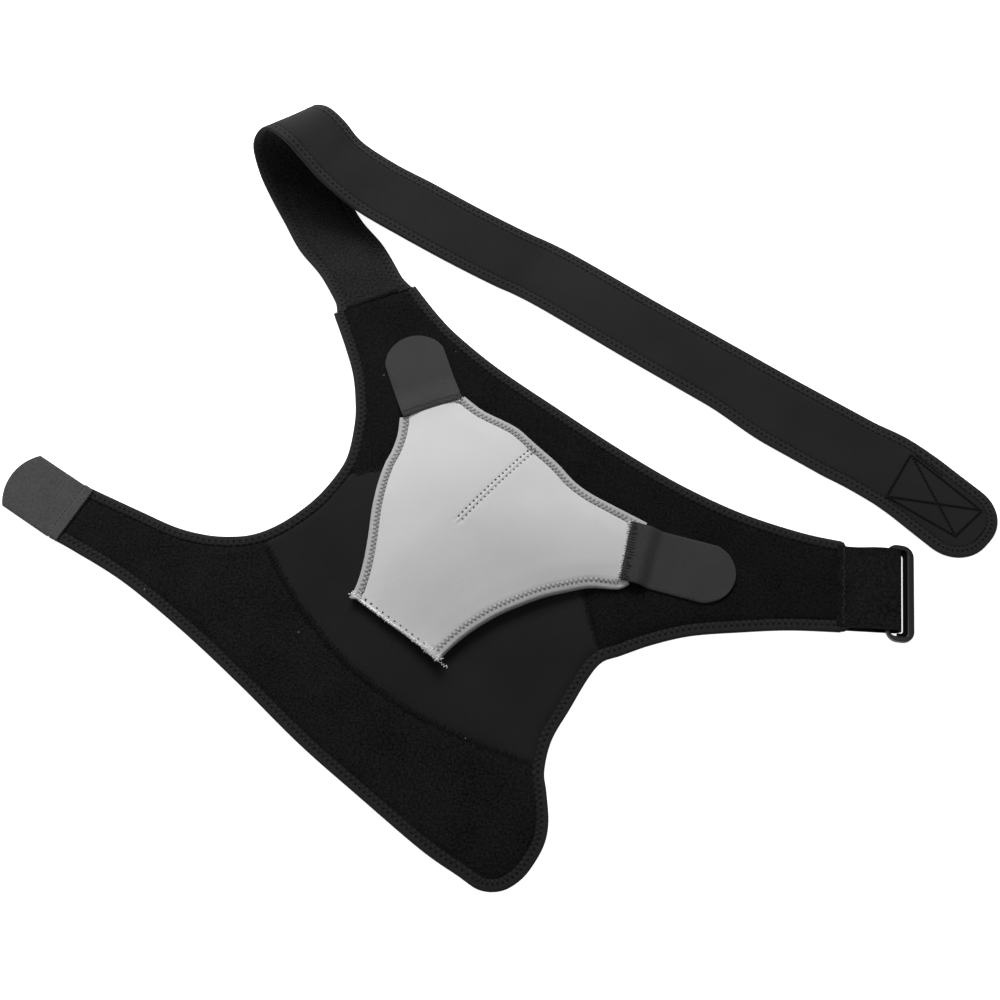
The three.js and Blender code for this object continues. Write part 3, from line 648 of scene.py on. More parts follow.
RIM_INSET = 1.1
GRID_INSET = 13
rim = body_ring(RIM_INSET)
body_inner = body_ring(GRID_INSET)


def inside_body(xy):
    clear = gaps_to(xy, rim + rim[:1]) > GRID_INSET
    off_seam = np.minimum(gaps_to(xy, shoulder_seam), gaps_to(xy, cuff_seam)) > 3
    return inside(xy, rim) & clear & off_seam


body_rings = [rim, *(body_ring(amount) for amount in (7, BIND_WIDE + 0.3, 10.6)), body_inner]
body_xy, body_faces = filled(body_rings, [shoulder_seam, cuff_seam], 5.5, inside_body)
edge_gap = np.min([gaps_to(body_xy, line) for line in edges], axis=0)
seam_gap = np.minimum(gaps_to(body_xy, shoulder_seam), gaps_to(body_xy, cuff_seam))


def body_height(k):
    """Low under the tapes and along the seams, and softly uneven between them."""
    x, y = body_xy[k]
    gap = edge_gap[k]
    if gap < BIND_WIDE:
        return CLOTH - 1.0
    puff = min(1, (gap - BIND_WIDE) / 4)
    groove = 0.7 * max(0, 1 - seam_gap[k] / 2.2)
    return CLOTH - 0.7 + 0.85 * puff ** 0.5 + 0.25 * rise_and_fall(x, y) * puff - groove


body_tops = [body_height(k) for k in range(len(body_xy))]
centres = np.array([body_xy[list(face)].mean(0) for face in body_faces])
in_centre = inside(centres, shoulder_seam + cuff_seam[::-1])
past_cuff = spots([(0.2, -0.7), (-0.7, -0.7), (-0.7, 0.3), (-0.28, 0.16)], BODY_LONG, BODY_HIGH)
in_cuff = inside(centres, cuff_seam + past_cuff) & ~in_centre


def body_panel(name, chosen, material, replaced):
    """One panel of the body, with the size and area of its flat outline."""
    faces = [body_faces[i] for i in np.nonzero(chosen)[0]]
    used = sorted({k for face in faces for k in face})
    new = {k: i for i, k in enumerate(used)}
    own = body_xy[used]
    triangles = [tuple(new[k] for k in face) for face in faces]
    verts = [(*body_xy[k], body_tops[k]) for k in used] + [(*p, 0.0) for p in own]
    out, kinds = slab(own, triangles)
    panel = node_piece(name, verts, out, [material, under_jersey], replaced, 60, kinds)
    xy = own - own.mean(0)
    grain = np.linalg.svd(xy, full_matrices=False)[2]
    size = np.ptp(xy @ grain.T, axis=0) * MM
    area = sum(abs(twice_area(own, face)) / 2 for face in triangles) * MM * MM
    return panel, (float(size[0]), float(size[1])), float(area)


shoulder = body_panel("shoulder_cloth", ~in_centre & ~in_cuff, shoulder_velour, "shoulder_panel")
centre = body_panel("centre_cloth", in_centre, jersey, "centre_panel")
cuff = body_panel("cuff_cloth", in_cuff, velour, "arm_cuff_panel")


# Tape over an edge: across from the edge, up from the underside
def tape_round(wide, high):
    inside_high = high - TAPE_WALL
    return [
        (wide, 0.0), (1.3, 0.0), (0.4, 0.35), (0.0, 1.1), (0.0, high - 1.1), (0.4, high - 0.35),
        (1.3, high), (wide * 0.5, high + 0.12), (wide * 0.8, high + 0.02), (wide - 0.3, high - 0.25),
        (wide, high - 0.6), (wide - 0.1, inside_high), (TAPE_WALL, inside_high), (TAPE_WALL, TAPE_WALL),
        (wide, TAPE_WALL),
    ]


def runs(line):
    """Each step of a line with its run length, for carried."""
    return [(run, i) for i, run in enumerate(lengths_along(line))]


lower_tape, upper_tape, armhole_tape = (
    carried(name, tape_round(BIND_WIDE, CLOTH), runs(line),
            lambda i, across, up, line=line: raised(beside(line, i, across), up), black_tape, node)
    for name, line, node in (
        ("lower_tape", lower_line, "lower_binding"), ("upper_tape", upper_line, "upper_binding"),
        ("armhole_tape", armhole_line, "armhole_binding"),
    )
)


def to_and_fro(line, step, near, far, place):
    """Corners of a thread that runs between two insets of a line."""
    even = evenly(line, step)
    return [place(i, beside(even, i, near if i % 2 else far)) for i in range(len(even))]


edge_stitches = []
for line in edges:
    corners = to_and_fro(line, 2.3, OUTER_ROW, INNER_ROW, lambda i, p: raised(p, CLOTH + 0.12))
    edge_stitches += [stitch(a, b, UP * 0.22) for a, b in zip(corners[1:-1], corners[2:-1])]
edge_threads = threads("edge_stitching", edge_stitches, 0.19, edge_thread, sides=4)

# Flat seams between the panels
seam_stitches = []
for seam, wide in ((shoulder_seam, 3.2), (cuff_seam, 4.4)):
    even = evenly([p for p in seam if inside(np.array([tuple(p)]), body_inner)[0]], 0.9)
    for i, p in enumerate(even):
        way = inward(even, i)
        a = p + way * chance.uniform(-wide, -0.2 * wide)
        b = p + way * chance.uniform(0.2 * wide, wide) + way.orthogonal() * chance.uniform(-1.5, 1.5)
        seam_stitches.append(stitch(raised(a, CLOTH + 0.15), raised(b, CLOTH + 0.15), UP * 0.2))
seam_threads = threads("seam_stitching", seam_stitches, 0.24, seam_thread, sides=4)


# Chest strap: its centre line, turned as the solid's is
def heading(degrees):
    return Vector((math.cos(math.radians(degrees)), math.sin(math.radians(degrees))))


NO_LENGTH = 1e-4


def knots(points, t):
    """A point of the centripetal spline through points."""
    last = len(points) - 1
    i = min(int(t), last - 1)
    w = t - i
    a, b = points[i], points[i + 1]
    before = points[i - 1] if i > 0 else a * 2 - points[1]
    after = points[i + 2] if i + 2 <= last else b * 2 - points[last - 1]
    d0, d1, d2 = ((q - p).length ** 0.5 for p, q in ((before, a), (a, b), (b, after)))
    d1 = d1 if d1 >= NO_LENGTH else 1.0
    d0, d2 = (d if d >= NO_LENGTH else d1 for d in (d0, d2))
    t1 = ((a - before) / d0 - (b - before) / (d0 + d1) + (b - a) / d1) * d1
    t2 = ((b - a) / d1 - (after - a) / (d1 + d2) + (after - b) / d2) * d1
    return a + t1 * w + (-3 * a + 3 * b - 2 * t1 - t2) * w**2 + (2 * a - 2 * b + t1 + t2) * w**3


root_left, root_right, ring_low, ring_high = spots(
    [ARMHOLE_EDGE[0], UPPER_EDGE[-1], LOWER_EDGE[-1], UPPER_EDGE[0]], BODY_LONG, BODY_HIGH
)


def strap_frames():
    """Centre, across and inner side at each millimetre of the strap."""
    root_line = root_right - root_left
    root_angle = math.degrees(math.atan2(root_line.y, root_line.x))
    ahead = heading(root_angle + 90 + ROOT_BEND)
    aside = heading(root_angle + ROOT_BEND)
    root = (root_left + root_right) / 2 + heading(root_angle + 90) * CLEAR
    rest = CLOTH / 2
    centre_points = [raised(root, rest)]
    turn_points = [Vector((root_angle, 0, 0))]
    for along, side, lift, facing, tilt in FOLD_ROUTE:
        at = root + (ahead * along + aside * side) * LOOP_REACH
        centre_points.append(raised(at, rest + lift * LOOP_HIGH))
        turn_points.append(Vector((root_angle + ROOT_BEND + facing, -tilt, 0)))
    down = centre_points[-1].xy
    passing = ring_high + Vector((PASS_AHEAD, PASS_ASIDE))
    run = passing - down
    run_angle = math.degrees(math.atan2(run.y, run.x))

    def onwards(start, angle, long, lift, turned=0.0):
        at = start + heading(angle) * long
        centre_points.append(raised(at, rest + lift))
        turn_points.append(Vector((angle + 90 + turned, 0, 0)))
        return at

    lift = HOOK + CLEAR
    onwards(down, run_angle, run.length / 3, 0)
    onwards(down, run_angle, 2 * run.length / 3, 0)
    passed = onwards(down, run_angle, run.length, lift)
    turned = onwards(passed, run_angle - TIP_TURN / 2, TIP_TURN_LONG, lift, -TIP_TURN / 4)
    beyond = onwards(turned, run_angle - TIP_TURN, TIP_TURN_LONG, lift)
    onwards(beyond, run_angle - TIP_TURN, STRAP_LONG / 4, lift)

    per = 60
    steps = (len(centre_points) - 1) * per
    fine = [knots(centre_points, i / per) for i in range(steps + 1)]
    lengths = lengths_along(fine)
    frames = []
    k = 0
    for s in range(int(STRAP_LONG) + 2):
        while k < steps - 1 and lengths[k + 1] < s:
            k += 1
        share = (s - lengths[k]) / (lengths[k + 1] - lengths[k])
        t = (k + share) / per
        centre = fine[k].lerp(fine[k + 1], share)
        centre.z = max(centre.z, rest)
        along = (fine[min(k + 2, steps)] - fine[max(k - 1, 0)]).normalized()
        turn = knots(turn_points, t)
        a, b = math.radians(turn.x), math.radians(turn.y)
        across = Vector((math.cos(a) * math.cos(b), math.sin(a) * math.cos(b), math.sin(b)))
        frames.append((centre, across, across.cross(along).normalized()))
    return frames


strap_line = strap_frames()


def on_strap(s, t, up):
    s = min(max(s, 0), len(strap_line) - 1.001)
    k = int(s)
    share = s - k
    centre, across, inner = (a.lerp(b, share) for a, b in zip(strap_line[k], strap_line[k + 1]))
    return centre + across * t + inner * (up - CLOTH / 2)


def low_swell(s):
    """How much further the strap's near side bellies out before its tip."""
    left = STRAP_LONG - s
    return 4.5 * (ease(-left, -250, -190) - ease(-left, -140, -90))


def root_flare(s):
    """How much wider each side runs into the body's corner."""
    return 3.6 * (1 - min(1, s / 13)) ** 1.5


def strap_half(s, less=0.0):
    flared = STRAP_LONG - PADDLE_LONG
    half = (STRAP_WIDE + (PADDLE_WIDE - STRAP_WIDE) * ease(s, flared - PADDLE_FLARE, flared)) / 2
    radius = PADDLE_ROUND - less
    into = min(max(s - (STRAP_LONG - PADDLE_ROUND), 0), radius)
    return half + root_flare(s) - PADDLE_ROUND + math.sqrt(max(radius**2 - into**2, 0))


def strap_stops(end, step):
    stops = list(np.arange(0, STRAP_LONG - PADDLE_ROUND, step))
    turn = PADDLE_ROUND - (STRAP_LONG - end)
    stops += [STRAP_LONG - PADDLE_ROUND + turn * math.sin(math.radians(90) * i / 12) for i in range(13)]
    return [float(s) for s in stops]


strap_runs = strap_stops(STRAP_LONG, 3.0)
near_side = [Vector((s, -strap_half(s) - low_swell(s))) for s in strap_runs]
far_side = [Vector((s, strap_half(s))) for s in strap_runs]
strap_edge = evenly(near_side + far_side[::-1], 3.0)
strap_section = tape_round(BIND_WIDE, CLOTH)[:-6] + [(BIND_WIDE, CLOTH - 0.6), (BIND_WIDE, 0.6)]


def on_strap_edge(i, across, up):
    return on_strap(*beside(strap_edge, i, across), up)


strap_tape_piece = carried("strap_tape", strap_section, runs(strap_edge), on_strap_edge, strap_tape,
                           "strap_binding")

# The web between the tapes: smooth side low, velour side high
shares = [-1, -0.97, -0.9, -0.75, -0.5, -0.25, 0, 0.25, 0.5, 0.75, 0.9, 0.97, 1]
WEB_INSET = BIND_WIDE - 0.6
stops = strap_stops(STRAP_LONG - WEB_INSET, 4.0)
verts, uvs = [], []
for high in (0, 1):
    for s in stops:
        half = strap_half(s, WEB_INSET)
        for share in shares:
            sunk = 0.55 if abs(share) > 0.98 else (0.15 if abs(share) > 0.95 else 0.0)
            aside = half * share - low_swell(s) * (1 - share) / 2
            verts.append(on_strap(s, aside, CLOTH - sunk if high else sunk))
            uvs.append((s, aside))
faces = layered(len(stops), len(shares), 0)
quads = (len(stops) - 1) * (len(shares) - 1)
kinds = [0] * quads + [1] * quads + [0] * (len(faces) - 2 * quads)
strap_web = node_piece("strap_web", verts, faces, [strap_jersey, strap_velour_lit], "chest_strap",
                       kinds=kinds, uvs=uvs)

strap_stitches = []
for up, lift in ((0.2, -0.05), (CLOTH + 0.1, 0.22)):
    corners = to_and_fro(strap_edge, 2.3, OUTER_ROW, INNER_ROW,
                         lambda i, p: (on_strap(*p, up), on_strap(*p, up + lift) - on_strap(*p, up)))
    strap_stitches += [stitch(a[0], b[0], a[1]) for a, b in zip(corners[1:-1], corners[2:-1])]
threads("strap_stitching", strap_stitches, 0.19, edge_thread, sides=4)


def on_run(x, y):
    """The upper side of the strap's straight run over a point of the floor."""
    k = min(range(int(STRAP_LONG * 0.5), len(strap_line), 2),
            key=lambda i: (strap_line[i][0].x - x) ** 2 + (strap_line[i][0].y - y) ** 2)
    return Vector((x, y, strap_line[k][0].z + CLOTH / 2))


# Crossed box that holds the hook patch under the strap's tip
BOX_STITCH = (3.0, 0.25, 0.12)
box_corners = [on_run(*p) for p in ((367.2, 56), (343, 18), (394, -17), (418.5, 5.5))]
box_stitches = []
for i, k in ((0, 1), (1, 2), (2, 3), (3, 0), (0, 2), (1, 3)):
    for side in (0.0, 0.9):
        off = UP.cross((box_corners[k] - box_corners[i]).normalized()) * side
        box_stitches += row_of_stitches(box_corners[i] + off, box_corners[k] + off, *BOX_STITCH)
off = UP.cross((box_corners[3] - box_corners[0]).normalized()) * 2.4
doubled = [box_corners[0].lerp(box_corners[3], share) + off for share in (0.04, 0.42)]
box_stitches += row_of_stitches(*doubled, *BOX_STITCH)
box_threads = threads("box_stitching", box_stitches, 0.5, black_thread)

# Hook patch under the tip, narrower towards it
patch_start = STRAP_LONG - PATCH_LEFT - PATCH_LONG
patch_section = [(side, CLOTH + CLEAR + up) for side, up in ((-1, 0), (1, 0), (1, HOOK), (-1, HOOK))]
patch_rows = [(i / 32 * PATCH_LONG, i / 32) for i in range(33)]


def on_patch(share, side, up):
    half = (PATCH_WIDE + (PATCH_TIP - PATCH_WIDE) * share) / 2
    return on_strap(patch_start + share * PATCH_LONG, half * side, up)


patch = carried("strap_patch", patch_section, patch_rows, on_patch, hook_tape, "strap_hook_patch")

# The ring end: out along the brace, across it, and up
ring_across = (ring_high - ring_low).normalized()
ring_out = Vector((ring_across.y, -ring_across.x))
ring_middle = (ring_low + ring_high) / 2


def at_ring_end(out, across, up):
    return raised(ring_middle + ring_out * out + ring_across * across, up)


# Keeper: a doubled web, its lower ply a little askew
OUTER_FOLD = (2 * (WEB_THICK + CLEAR) + HELD_BAR) / 2
FOLD_OUT = KEEPER_LONG - OUTER_FOLD
FOLD_SPARE = 1.7
fold_middle = OUTER_FOLD - WEB_THICK / 2
keeper_path = [(out, WEB_THICK / 2) for out in (0.4, 10, 24, FOLD_OUT)]
for i in range(1, 12):
    turn = math.radians(-90 + 180 * i / 12)
    out = FOLD_OUT + (fold_middle + FOLD_SPARE) * math.cos(turn)
    keeper_path.append((out, OUTER_FOLD + fold_middle * math.sin(turn)))
top_mid = 2 * OUTER_FOLD - WEB_THICK / 2
sewn_mid = WEB_THICK * 1.5 + CLEAR
keeper_path += [(out, top_mid - low) for out, low in ((FOLD_OUT, 0), (34, 0), (29, 0.4), (23, 1.5))]
keeper_path += [(out, sewn_mid + up) for out, up in ((17, 1.9), (12, 0.7), (8, 0.2), (4, 0), (-3.5, 0.5))]
keeper_fine = evenly([Vector(p) for p in keeper_path], 1.2)
verts, uvs = [], []
columns = 24
for side in (0.5, -0.5):
    for i, p in enumerate(keeper_fine):
        at = beside(keeper_fine, i, -side * WEB_THICK)
        askew = 2.2 * max(0.0, 1 - i / (len(keeper_fine) * 0.45))
        for c in range(columns + 1):
            wave = 0.25 * math.sin(c * 0.9 + 0.6) * max(0, 1 - p.x / KEEPER_RAMP) * (1 if p.y > 2 else 0)
            across = (c / columns - 0.5) * KEEPER_WIDE - askew
            verts.append(at_ring_end(at.x, across, max(0.02, at.y + wave)))
            uvs.append((i * 1.2, across))
faces = layered(len(keeper_fine), columns + 1, 0)
keeper = node_piece("keeper_web", verts, faces, [keeper_velour], "ring_keeper", 50, uvs=uvs)


# Ring: a moulded frame, its held side inside the keeper, and a near-black sunk shelf round its slot that is
# painted shade on the slot's inner wall
def rounded_block(near, far, half, thick, rounding, segments, sunk=0):
    """A block out from near to far; with a rounding, its upright corners are rounded."""
    bpy.ops.object.select_all(action="DESELECT")
    bpy.ops.mesh.primitive_cube_add(size=1, location=((near + far) / 2 * MM, 0, -sunk * MM),
                                    scale=((far - near) * MM, 2 * half * MM, thick * MM))
    bpy.ops.object.transform_apply(location=True, rotation=False, scale=True)
    block = bpy.context.object
    if not rounding:
        return block
    bpy.ops.object.mode_set(mode="EDIT")
    bpy.ops.mesh.select_mode(type="EDGE")
    bpy.ops.mesh.select_all(action="DESELECT")
    bpy.ops.object.mode_set(mode="OBJECT")
    for edge in block.data.edges:
        a, b = (block.data.vertices[k].co for k in edge.vertices)
        edge.select = abs(a.z - b.z) > thick / 2 * MM
    bpy.ops.object.mode_set(mode="EDIT")
    bpy.ops.mesh.bevel(offset=rounding * MM, segments=segments, affect="EDGES")
    bpy.ops.object.mode_set(mode="OBJECT")
    return block


def with_slot(block, near, far, half, rounding):
    """Cuts a rounded slot through a block and softens its edges."""
    cutter = rounded_block(near, far, half, 3 * RING_THICK, rounding, 5)
    bpy.ops.object.select_all(action="DESELECT")
    bpy.context.view_layer.objects.active = block
    block.select_set(True)
    cut = block.modifiers.new("slot", "BOOLEAN")
    cut.object = cutter
    cut.operation = "DIFFERENCE"
    cut.solver = "EXACT"
    bpy.ops.object.modifier_apply(modifier=cut.name)
    bpy.data.objects.remove(cutter)
    soften = block.modifiers.new("edges", "BEVEL")
    soften.width = 0.9 * MM
    soften.segments = 3
    soften.limit_method = "ANGLE"
    soften.angle_limit = math.radians(50)
    bpy.ops.object.modifier_apply(modifier=soften.name)


inner = -HELD_BAR / 2
outer = inner + RING_WIDE
slot_far = outer - RIM
slot_half = RING_LONG / 2 - RING_ARM
ring_frame = rounded_block(inner + 0.3, outer, RING_LONG / 2, RING_THICK, RING_ROUND, 8)
ring_frame.name = "ring_frame"
with_slot(ring_frame, 1, slot_far, slot_half, 3)
ring_shade_shelf = rounded_block(6.8, slot_far + 0.6, slot_half + 0.6, RING_THICK - 2.4, 0, 0, SHELF_SUNK)
ring_shade_shelf.name = "ring_shade_shelf"
with_slot(ring_shade_shelf, 4, slot_far - SHELF, slot_half - SHELF, SLOT_ROUND)
bar_up = WEB_THICK + CLEAR + HELD_BAR / 2
bar_out = KEEPER_LONG + SLOT_LEFT + FREE_BAR - RING_WIDE + HELD_BAR / 2
drop = math.asin((bar_up - RING_THICK / 2) / outer)
for part, material in ((ring_frame, plastic), (ring_shade_shelf, shelf_shade_plastic)):
    bpy.ops.object.select_all(action="DESELECT")
    bpy.context.view_layer.objects.active = part
    part.select_set(True)
    part.location = at_ring_end(bar_out, -RING_SLIP, bar_up) * MM
    part.rotation_euler = (0, drop, math.atan2(ring_out.y, ring_out.x))
    bpy.ops.object.transform_apply(location=True, rotation=True, scale=False)
    part.data.materials.append(material)
    turn_outwards(part)
    sharpen(part, 40)
    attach(part, "ring")
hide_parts("strap_ring")

# Tape ends folded back beside the keeper
body_half = (ring_high - ring_low).length / 2
verts, faces = [], []
for way, long in ((-1, 8.0), (1, 3.5)):
    corners = [(-1.5, body_half - 0.3), (long * 0.4, body_half - 1.2), (long, KEEPER_WIDE / 2 - 0.6),
               (-1.5, KEEPER_WIDE / 2 - 2)]
    start = len(verts)
    verts += [at_ring_end(out, across * way, up) for up in (0.6, 3.3) for out, across in corners]
    faces += strip(start, 2, 4, 4) + caps(start, 2, 4)
turn_outwards(make_piece("tape_ends", verts, faces, [black_tape]))

# Seam that holds the keeper to the body's end
keeper_seam = []
for i in range(46):
    across = (i / 45 - 0.5) * (KEEPER_WIDE - 5)
    out = 1.8 + 0.5 * math.sin(i * 0.7) + 0.4 * math.sin(i * 1.9)
    long = 1.1 + 0.5 * math.sin(i * 2.3)
    a = at_ring_end(out - long / 2, across, sewn_mid + 1.0)
    b = at_ring_end(out + long / 2, across + 0.7, sewn_mid + 1.0)
    keeper_seam.append(stitch(a, b, UP * 0.35))
threads("keeper_stitching", keeper_seam, 0.22, speck_thread)


# Pressure pad
PAD_STEP = 2.5
pad_left, pad_lower, pad_upper = (
    smooth_line(spots(rows, PAD_WIDE, PAD_HIGH), PAD_STEP) for rows in (PAD_LEFT, PAD_LOWER, PAD_UPPER)
)
pad_around = []
for line, after in ((pad_left, pad_lower), (pad_lower, pad_upper), (pad_upper, pad_left)):
    pad_around += line + evenly([line[-1], after[0]], PAD_STEP)[1:-1]
pad_angles = sorted((math.atan2(p.y, p.x), p.length) for p in pad_around)
pad_turns = np.linspace(-math.pi, math.pi, 360, endpoint=False)
pad_reach = np.interp(pad_turns, [a for a, _ in pad_angles], [r for _, r in pad_angles], period=2 * math.pi)
window = np.exp(-((np.arange(-45, 46) / 15.0) ** 2))
pad_reach = np.convolve(np.tile(pad_reach, 3), window / window.sum(), mode="same")[360:720]


def pad_rise(x, y):
    reach = float(np.interp(math.atan2(y, x), pad_turns, pad_reach, period=2 * math.pi))
    share = min(1, math.hypot(x, y) / reach)
    return PAD_DOME * (1 - share**2) ** 1.5


def pad_fat(x, y):
    """How much higher the pad's rolled edge stands on its lower right side."""
    gap = float(gaps_to(np.array([[x, y]]), pad_lower)[0])
    return 2.6 * max(0, 1 - gap / 30) ** 2 * min(1, max(0, (112 - x) / 55))


def on_pad(x, y, up):
    return Vector((x, y, SEAT + pad_rise(x, y) + pad_fat(x, y) + up))


dart_far = Vector((65.3, 61.8))
dart_near = Vector((2.3, -10.4))
pad_rim = inset(pad_around, 1.0)


def inside_pad(xy):
    return inside(xy, pad_rim) & (gaps_to(xy, pad_rim + pad_rim[:1]) > 11)


dart_line = evenly([dart_near, dart_far], 1.5)
dart_sides = [inset(dart_line, side) for side in (-2.8, -1.8, -0.8, 0.8, 1.8, 2.8)]
pad_rings = [pad_rim] + [inset(pad_around, amount) for amount in (5, PAD_TAPE + 0.3, 10)]
pad_xy, pad_faces = filled(pad_rings, [dart_line, *dart_sides], 3.5, inside_pad)
tape_gap = np.min([gaps_to(pad_xy, line) for line in (pad_left, pad_lower, pad_upper)], axis=0)
dart_gap = gaps_to(pad_xy, dart_line)


def pad_up(k):
    """Low under the tape, full past it, with a ridge and two dents along the dart."""
    base = 3.0
    if tape_gap[k] >= PAD_TAPE:
        base = 4.3 + (PAD_THICK - 4.3) * min(1, (tape_gap[k] - PAD_TAPE) / 12) ** 0.8
    gap = dart_gap[k]
    return base + 0.3 * math.exp(-((gap / 0.7) ** 2)) - 0.3 * math.exp(-(((gap - 1.8) / 0.9) ** 2))


verts = [on_pad(x, y, pad_up(k)) for k, (x, y) in enumerate(pad_xy)]
verts += [Vector((x, y, SEAT + 0.1)) for x, y in pad_xy]
pad = node_piece("pad_cloth", verts, slab(pad_xy, pad_faces)[0], [pad_knit], "pressure_pad", 65)


pad_stitches = []
for side, line in (("left", pad_left), ("lower", pad_lower), ("upper", pad_upper)):
    def on_pad_edge(i, across, up):
        at = beside(line, i, across)
        lift = pad_rise(*at) + pad_fat(*at) if up > 1.3 else 0.0
        thin = 0.5 + 0.5 * min(1, (line[i] - pad_lower[-1]).length / 28)
        return raised(at, SEAT + (lift + up) * thin)

    carried("pad_tape_" + side, tape_round(PAD_TAPE, PAD_TAPE_HIGH), runs(line), on_pad_edge, pad_tape,
            "pad_binding_" + side)
    corners = to_and_fro(line, 1.8, 4.2, 7.3, lambda i, p: on_pad(*p, PAD_TAPE_HIGH + (0.1 if i % 2 else 0)))
    pad_stitches += [stitch(a, b, UP * 0.3) for a, b in zip(corners[:-1], corners[1:])]
threads("pad_stitching", pad_stitches, 0.27, grey_thread)

# Dark rods as painted shade in the needle holes beside the dart and along the pad's cut edge
hole_lines = []
for side in (-2.0, 2.0):
    for i in range(1, 22):
        at = dart_near.lerp(dart_far, i / 22) + (dart_far - dart_near).normalized().orthogonal() * side
        top = PAD_THICK - (0.02 if side > 0 else 0.12) - (0.5 if i > 18 else 0)
        hole_lines.append([on_pad(*at, PAD_THICK - 1.2), on_pad(*at, top)])
cut_low, cut_high = pad_left[-1], pad_lower[0]
cut_in = (cut_high - cut_low).normalized().orthogonal()
for i in range(11):
    at = cut_low.lerp(cut_high, 0.13 + i * 0.068) + cut_in * 3.9
    hole_lines.append([on_pad(*at, PAD_THICK - 1.0), on_pad(*at, PAD_THICK + 0.06)])
threads("needle_hole_shade", hole_lines, 0.85, hole_shade_paint, sides=8)


# White fluff of the raw edges
def fluff(a, b, count, reach):
    lines = []
    for _ in range(count):
        p = a.lerp(b, chance.random())
        angle = chance.uniform(0, 2 * math.pi)
        way = Vector((math.cos(angle), math.sin(angle), chance.uniform(-0.1, 0.7)))
        bend = Vector((chance.uniform(-1, 1), chance.uniform(-1, 1), chance.uniform(-0.2, 0.6)))
        long = reach * chance.uniform(0.35, 1)
        line = [p + way * long * t + bend * long * 0.4 * t * t for t in (0, 0.33, 0.66, 1)]
        lines.append([raised(q, max(q.z, SEAT + 0.2)) for q in line])
    return lines


def on_cut(share, inset_by, up):
    """A place along the pad's cut edge."""
    return on_pad(*(cut_low.lerp(cut_high, share) + cut_in * inset_by), up)


raw_line = evenly([cut_low.lerp(cut_high, 0.03), cut_high], 2.0)
raw_line = [on_pad(*(p + cut_in * 1.3), 4.9) for p in raw_line]
threads("raw_edge", [raw_line], 0.9, white_fluff, sides=8)
stray = [
    (-11.5, -119.5, 7), (-9.4, -121.4, 6), (-8.2, -120.2, 5.4), (-8.6, -122.8, 4.9),
    (-6.6, -121.6, 4.6), (-6.9, -124.2, 4.4), (-4.6, -122.6, 4.4), (-4.4, -125.4, 4.4),
]
threads("stray_thread", [evenly([Vector(p) for p in stray], 0.7)], 0.28, white_fluff, sides=6)
tufts = fluff(on_cut(0, 1.0, PAD_CUT_HIGH), on_cut(1, 1.0, PAD_CUT_HIGH), 700, 1.8)
tufts += fluff(on_cut(0, 0.5, PAD_CUT_HIGH), on_cut(0.07, 2.5, 5.2), 220, 3.2)
tufts += fluff(on_cut(0.82, 2.5, 5.2), on_cut(1, 0.5, 5), 420, 3.6)
threads("raw_edge_fluff", tufts, 0.18, white_fluff, sides=3)


# Tabs
def tab_piece(name, node, base, across, long, round_by, angle, lap, height, material, skew=0.0):
    """A tab with a rounded tip, out from its base, with a lap back over what it is sewn to."""
    axis = heading(angle)
    half = across.length / 2
    side = across.normalized()
    radius = (half**2 + round_by**2) / (2 * round_by)
    start = math.asin(min(1, half / radius))
    stops = [(-lap + i * (long - round_by + lap) / 40, half) for i in range(41)]
    for i in range(1, 17):
        turn = start * (1 - 0.985 * i / 16)
        stops.append((long - radius * (1 - math.cos(turn)), radius * math.sin(turn)))
    shares = [-1, -0.985, -0.9, -0.7, -0.45, -0.2, 0, 0.2, 0.45, 0.7, 0.9, 0.985, 1]
    verts, uvs = [], []
    for top in (0, HOOK):
        for s, wide in stops:
            for share in shares:
                back = skew * (share + 1) / 2 * (1 - ease(s, -lap, 18))
                at = base + axis * (s - back) + side * wide * share
                up = height(s) + (top - 0.3 if top and abs(share) == 1 else top)
                verts.append(raised(at, up))
                uvs.append((s, wide * share))
    faces = layered(len(stops), len(shares), 1)
    piece = node_piece(name, verts, faces, [material], node, 50, uvs=uvs)
    return axis, side, half


tab_low, tab_high = lower_line[0], armhole_line[-1]
tab_across = tab_high - tab_low
tab_out = Vector((-tab_across.y, tab_across.x)).normalized()
arm_base = (tab_low + tab_high) / 2 + tab_out * CLEAR
tab_piece("arm_hook_tab", "arm_tab", arm_base, tab_across, 60, 10, 145.6, 8,
          lambda s: 0.02 + (CLOTH + 0.1) * (1 - ease(s, 0.2, 3)), arm_hook_tape_lit)


def pad_tab_height(lap_up, start, end):
    return lambda s: SEAT + lap_up + (0.1 - lap_up) * ease(s, start, end)


def tab_root(a, b):
    """Along the pad's end from a to b, and the middle of a tab's base clear of it."""
    edge = (b - a).normalized()
    return edge, (a + b) / 2 - edge.orthogonal() * CLEAR


SIDE_LAP = 8.5
SIDE_SKEW = 4.5
SIDE_UP = 5.2
TOP_UP = 4.4
side_edge, side_base = tab_root(pad_lower[-1], pad_upper[0])
side_base += Vector((0, -1.3))
side_axis, side_side, side_half = tab_piece(
    "side_hook_tab", "pad_tab_side", side_base, side_edge * 50, 77, 20, -16, SIDE_LAP,
    pad_tab_height(SIDE_UP, 4, 15), side_hook_tape_shaded, SIDE_SKEW,
)
top_edge, top_base = tab_root(pad_upper[-1], pad_left[0])
top_axis, top_side, top_half = tab_piece(
    "top_hook_tab", "pad_tab_top", top_base, top_edge * 51, 71, 19, 108, 1.5,
    pad_tab_height(TOP_UP, -2, 26), hook_tape,
)

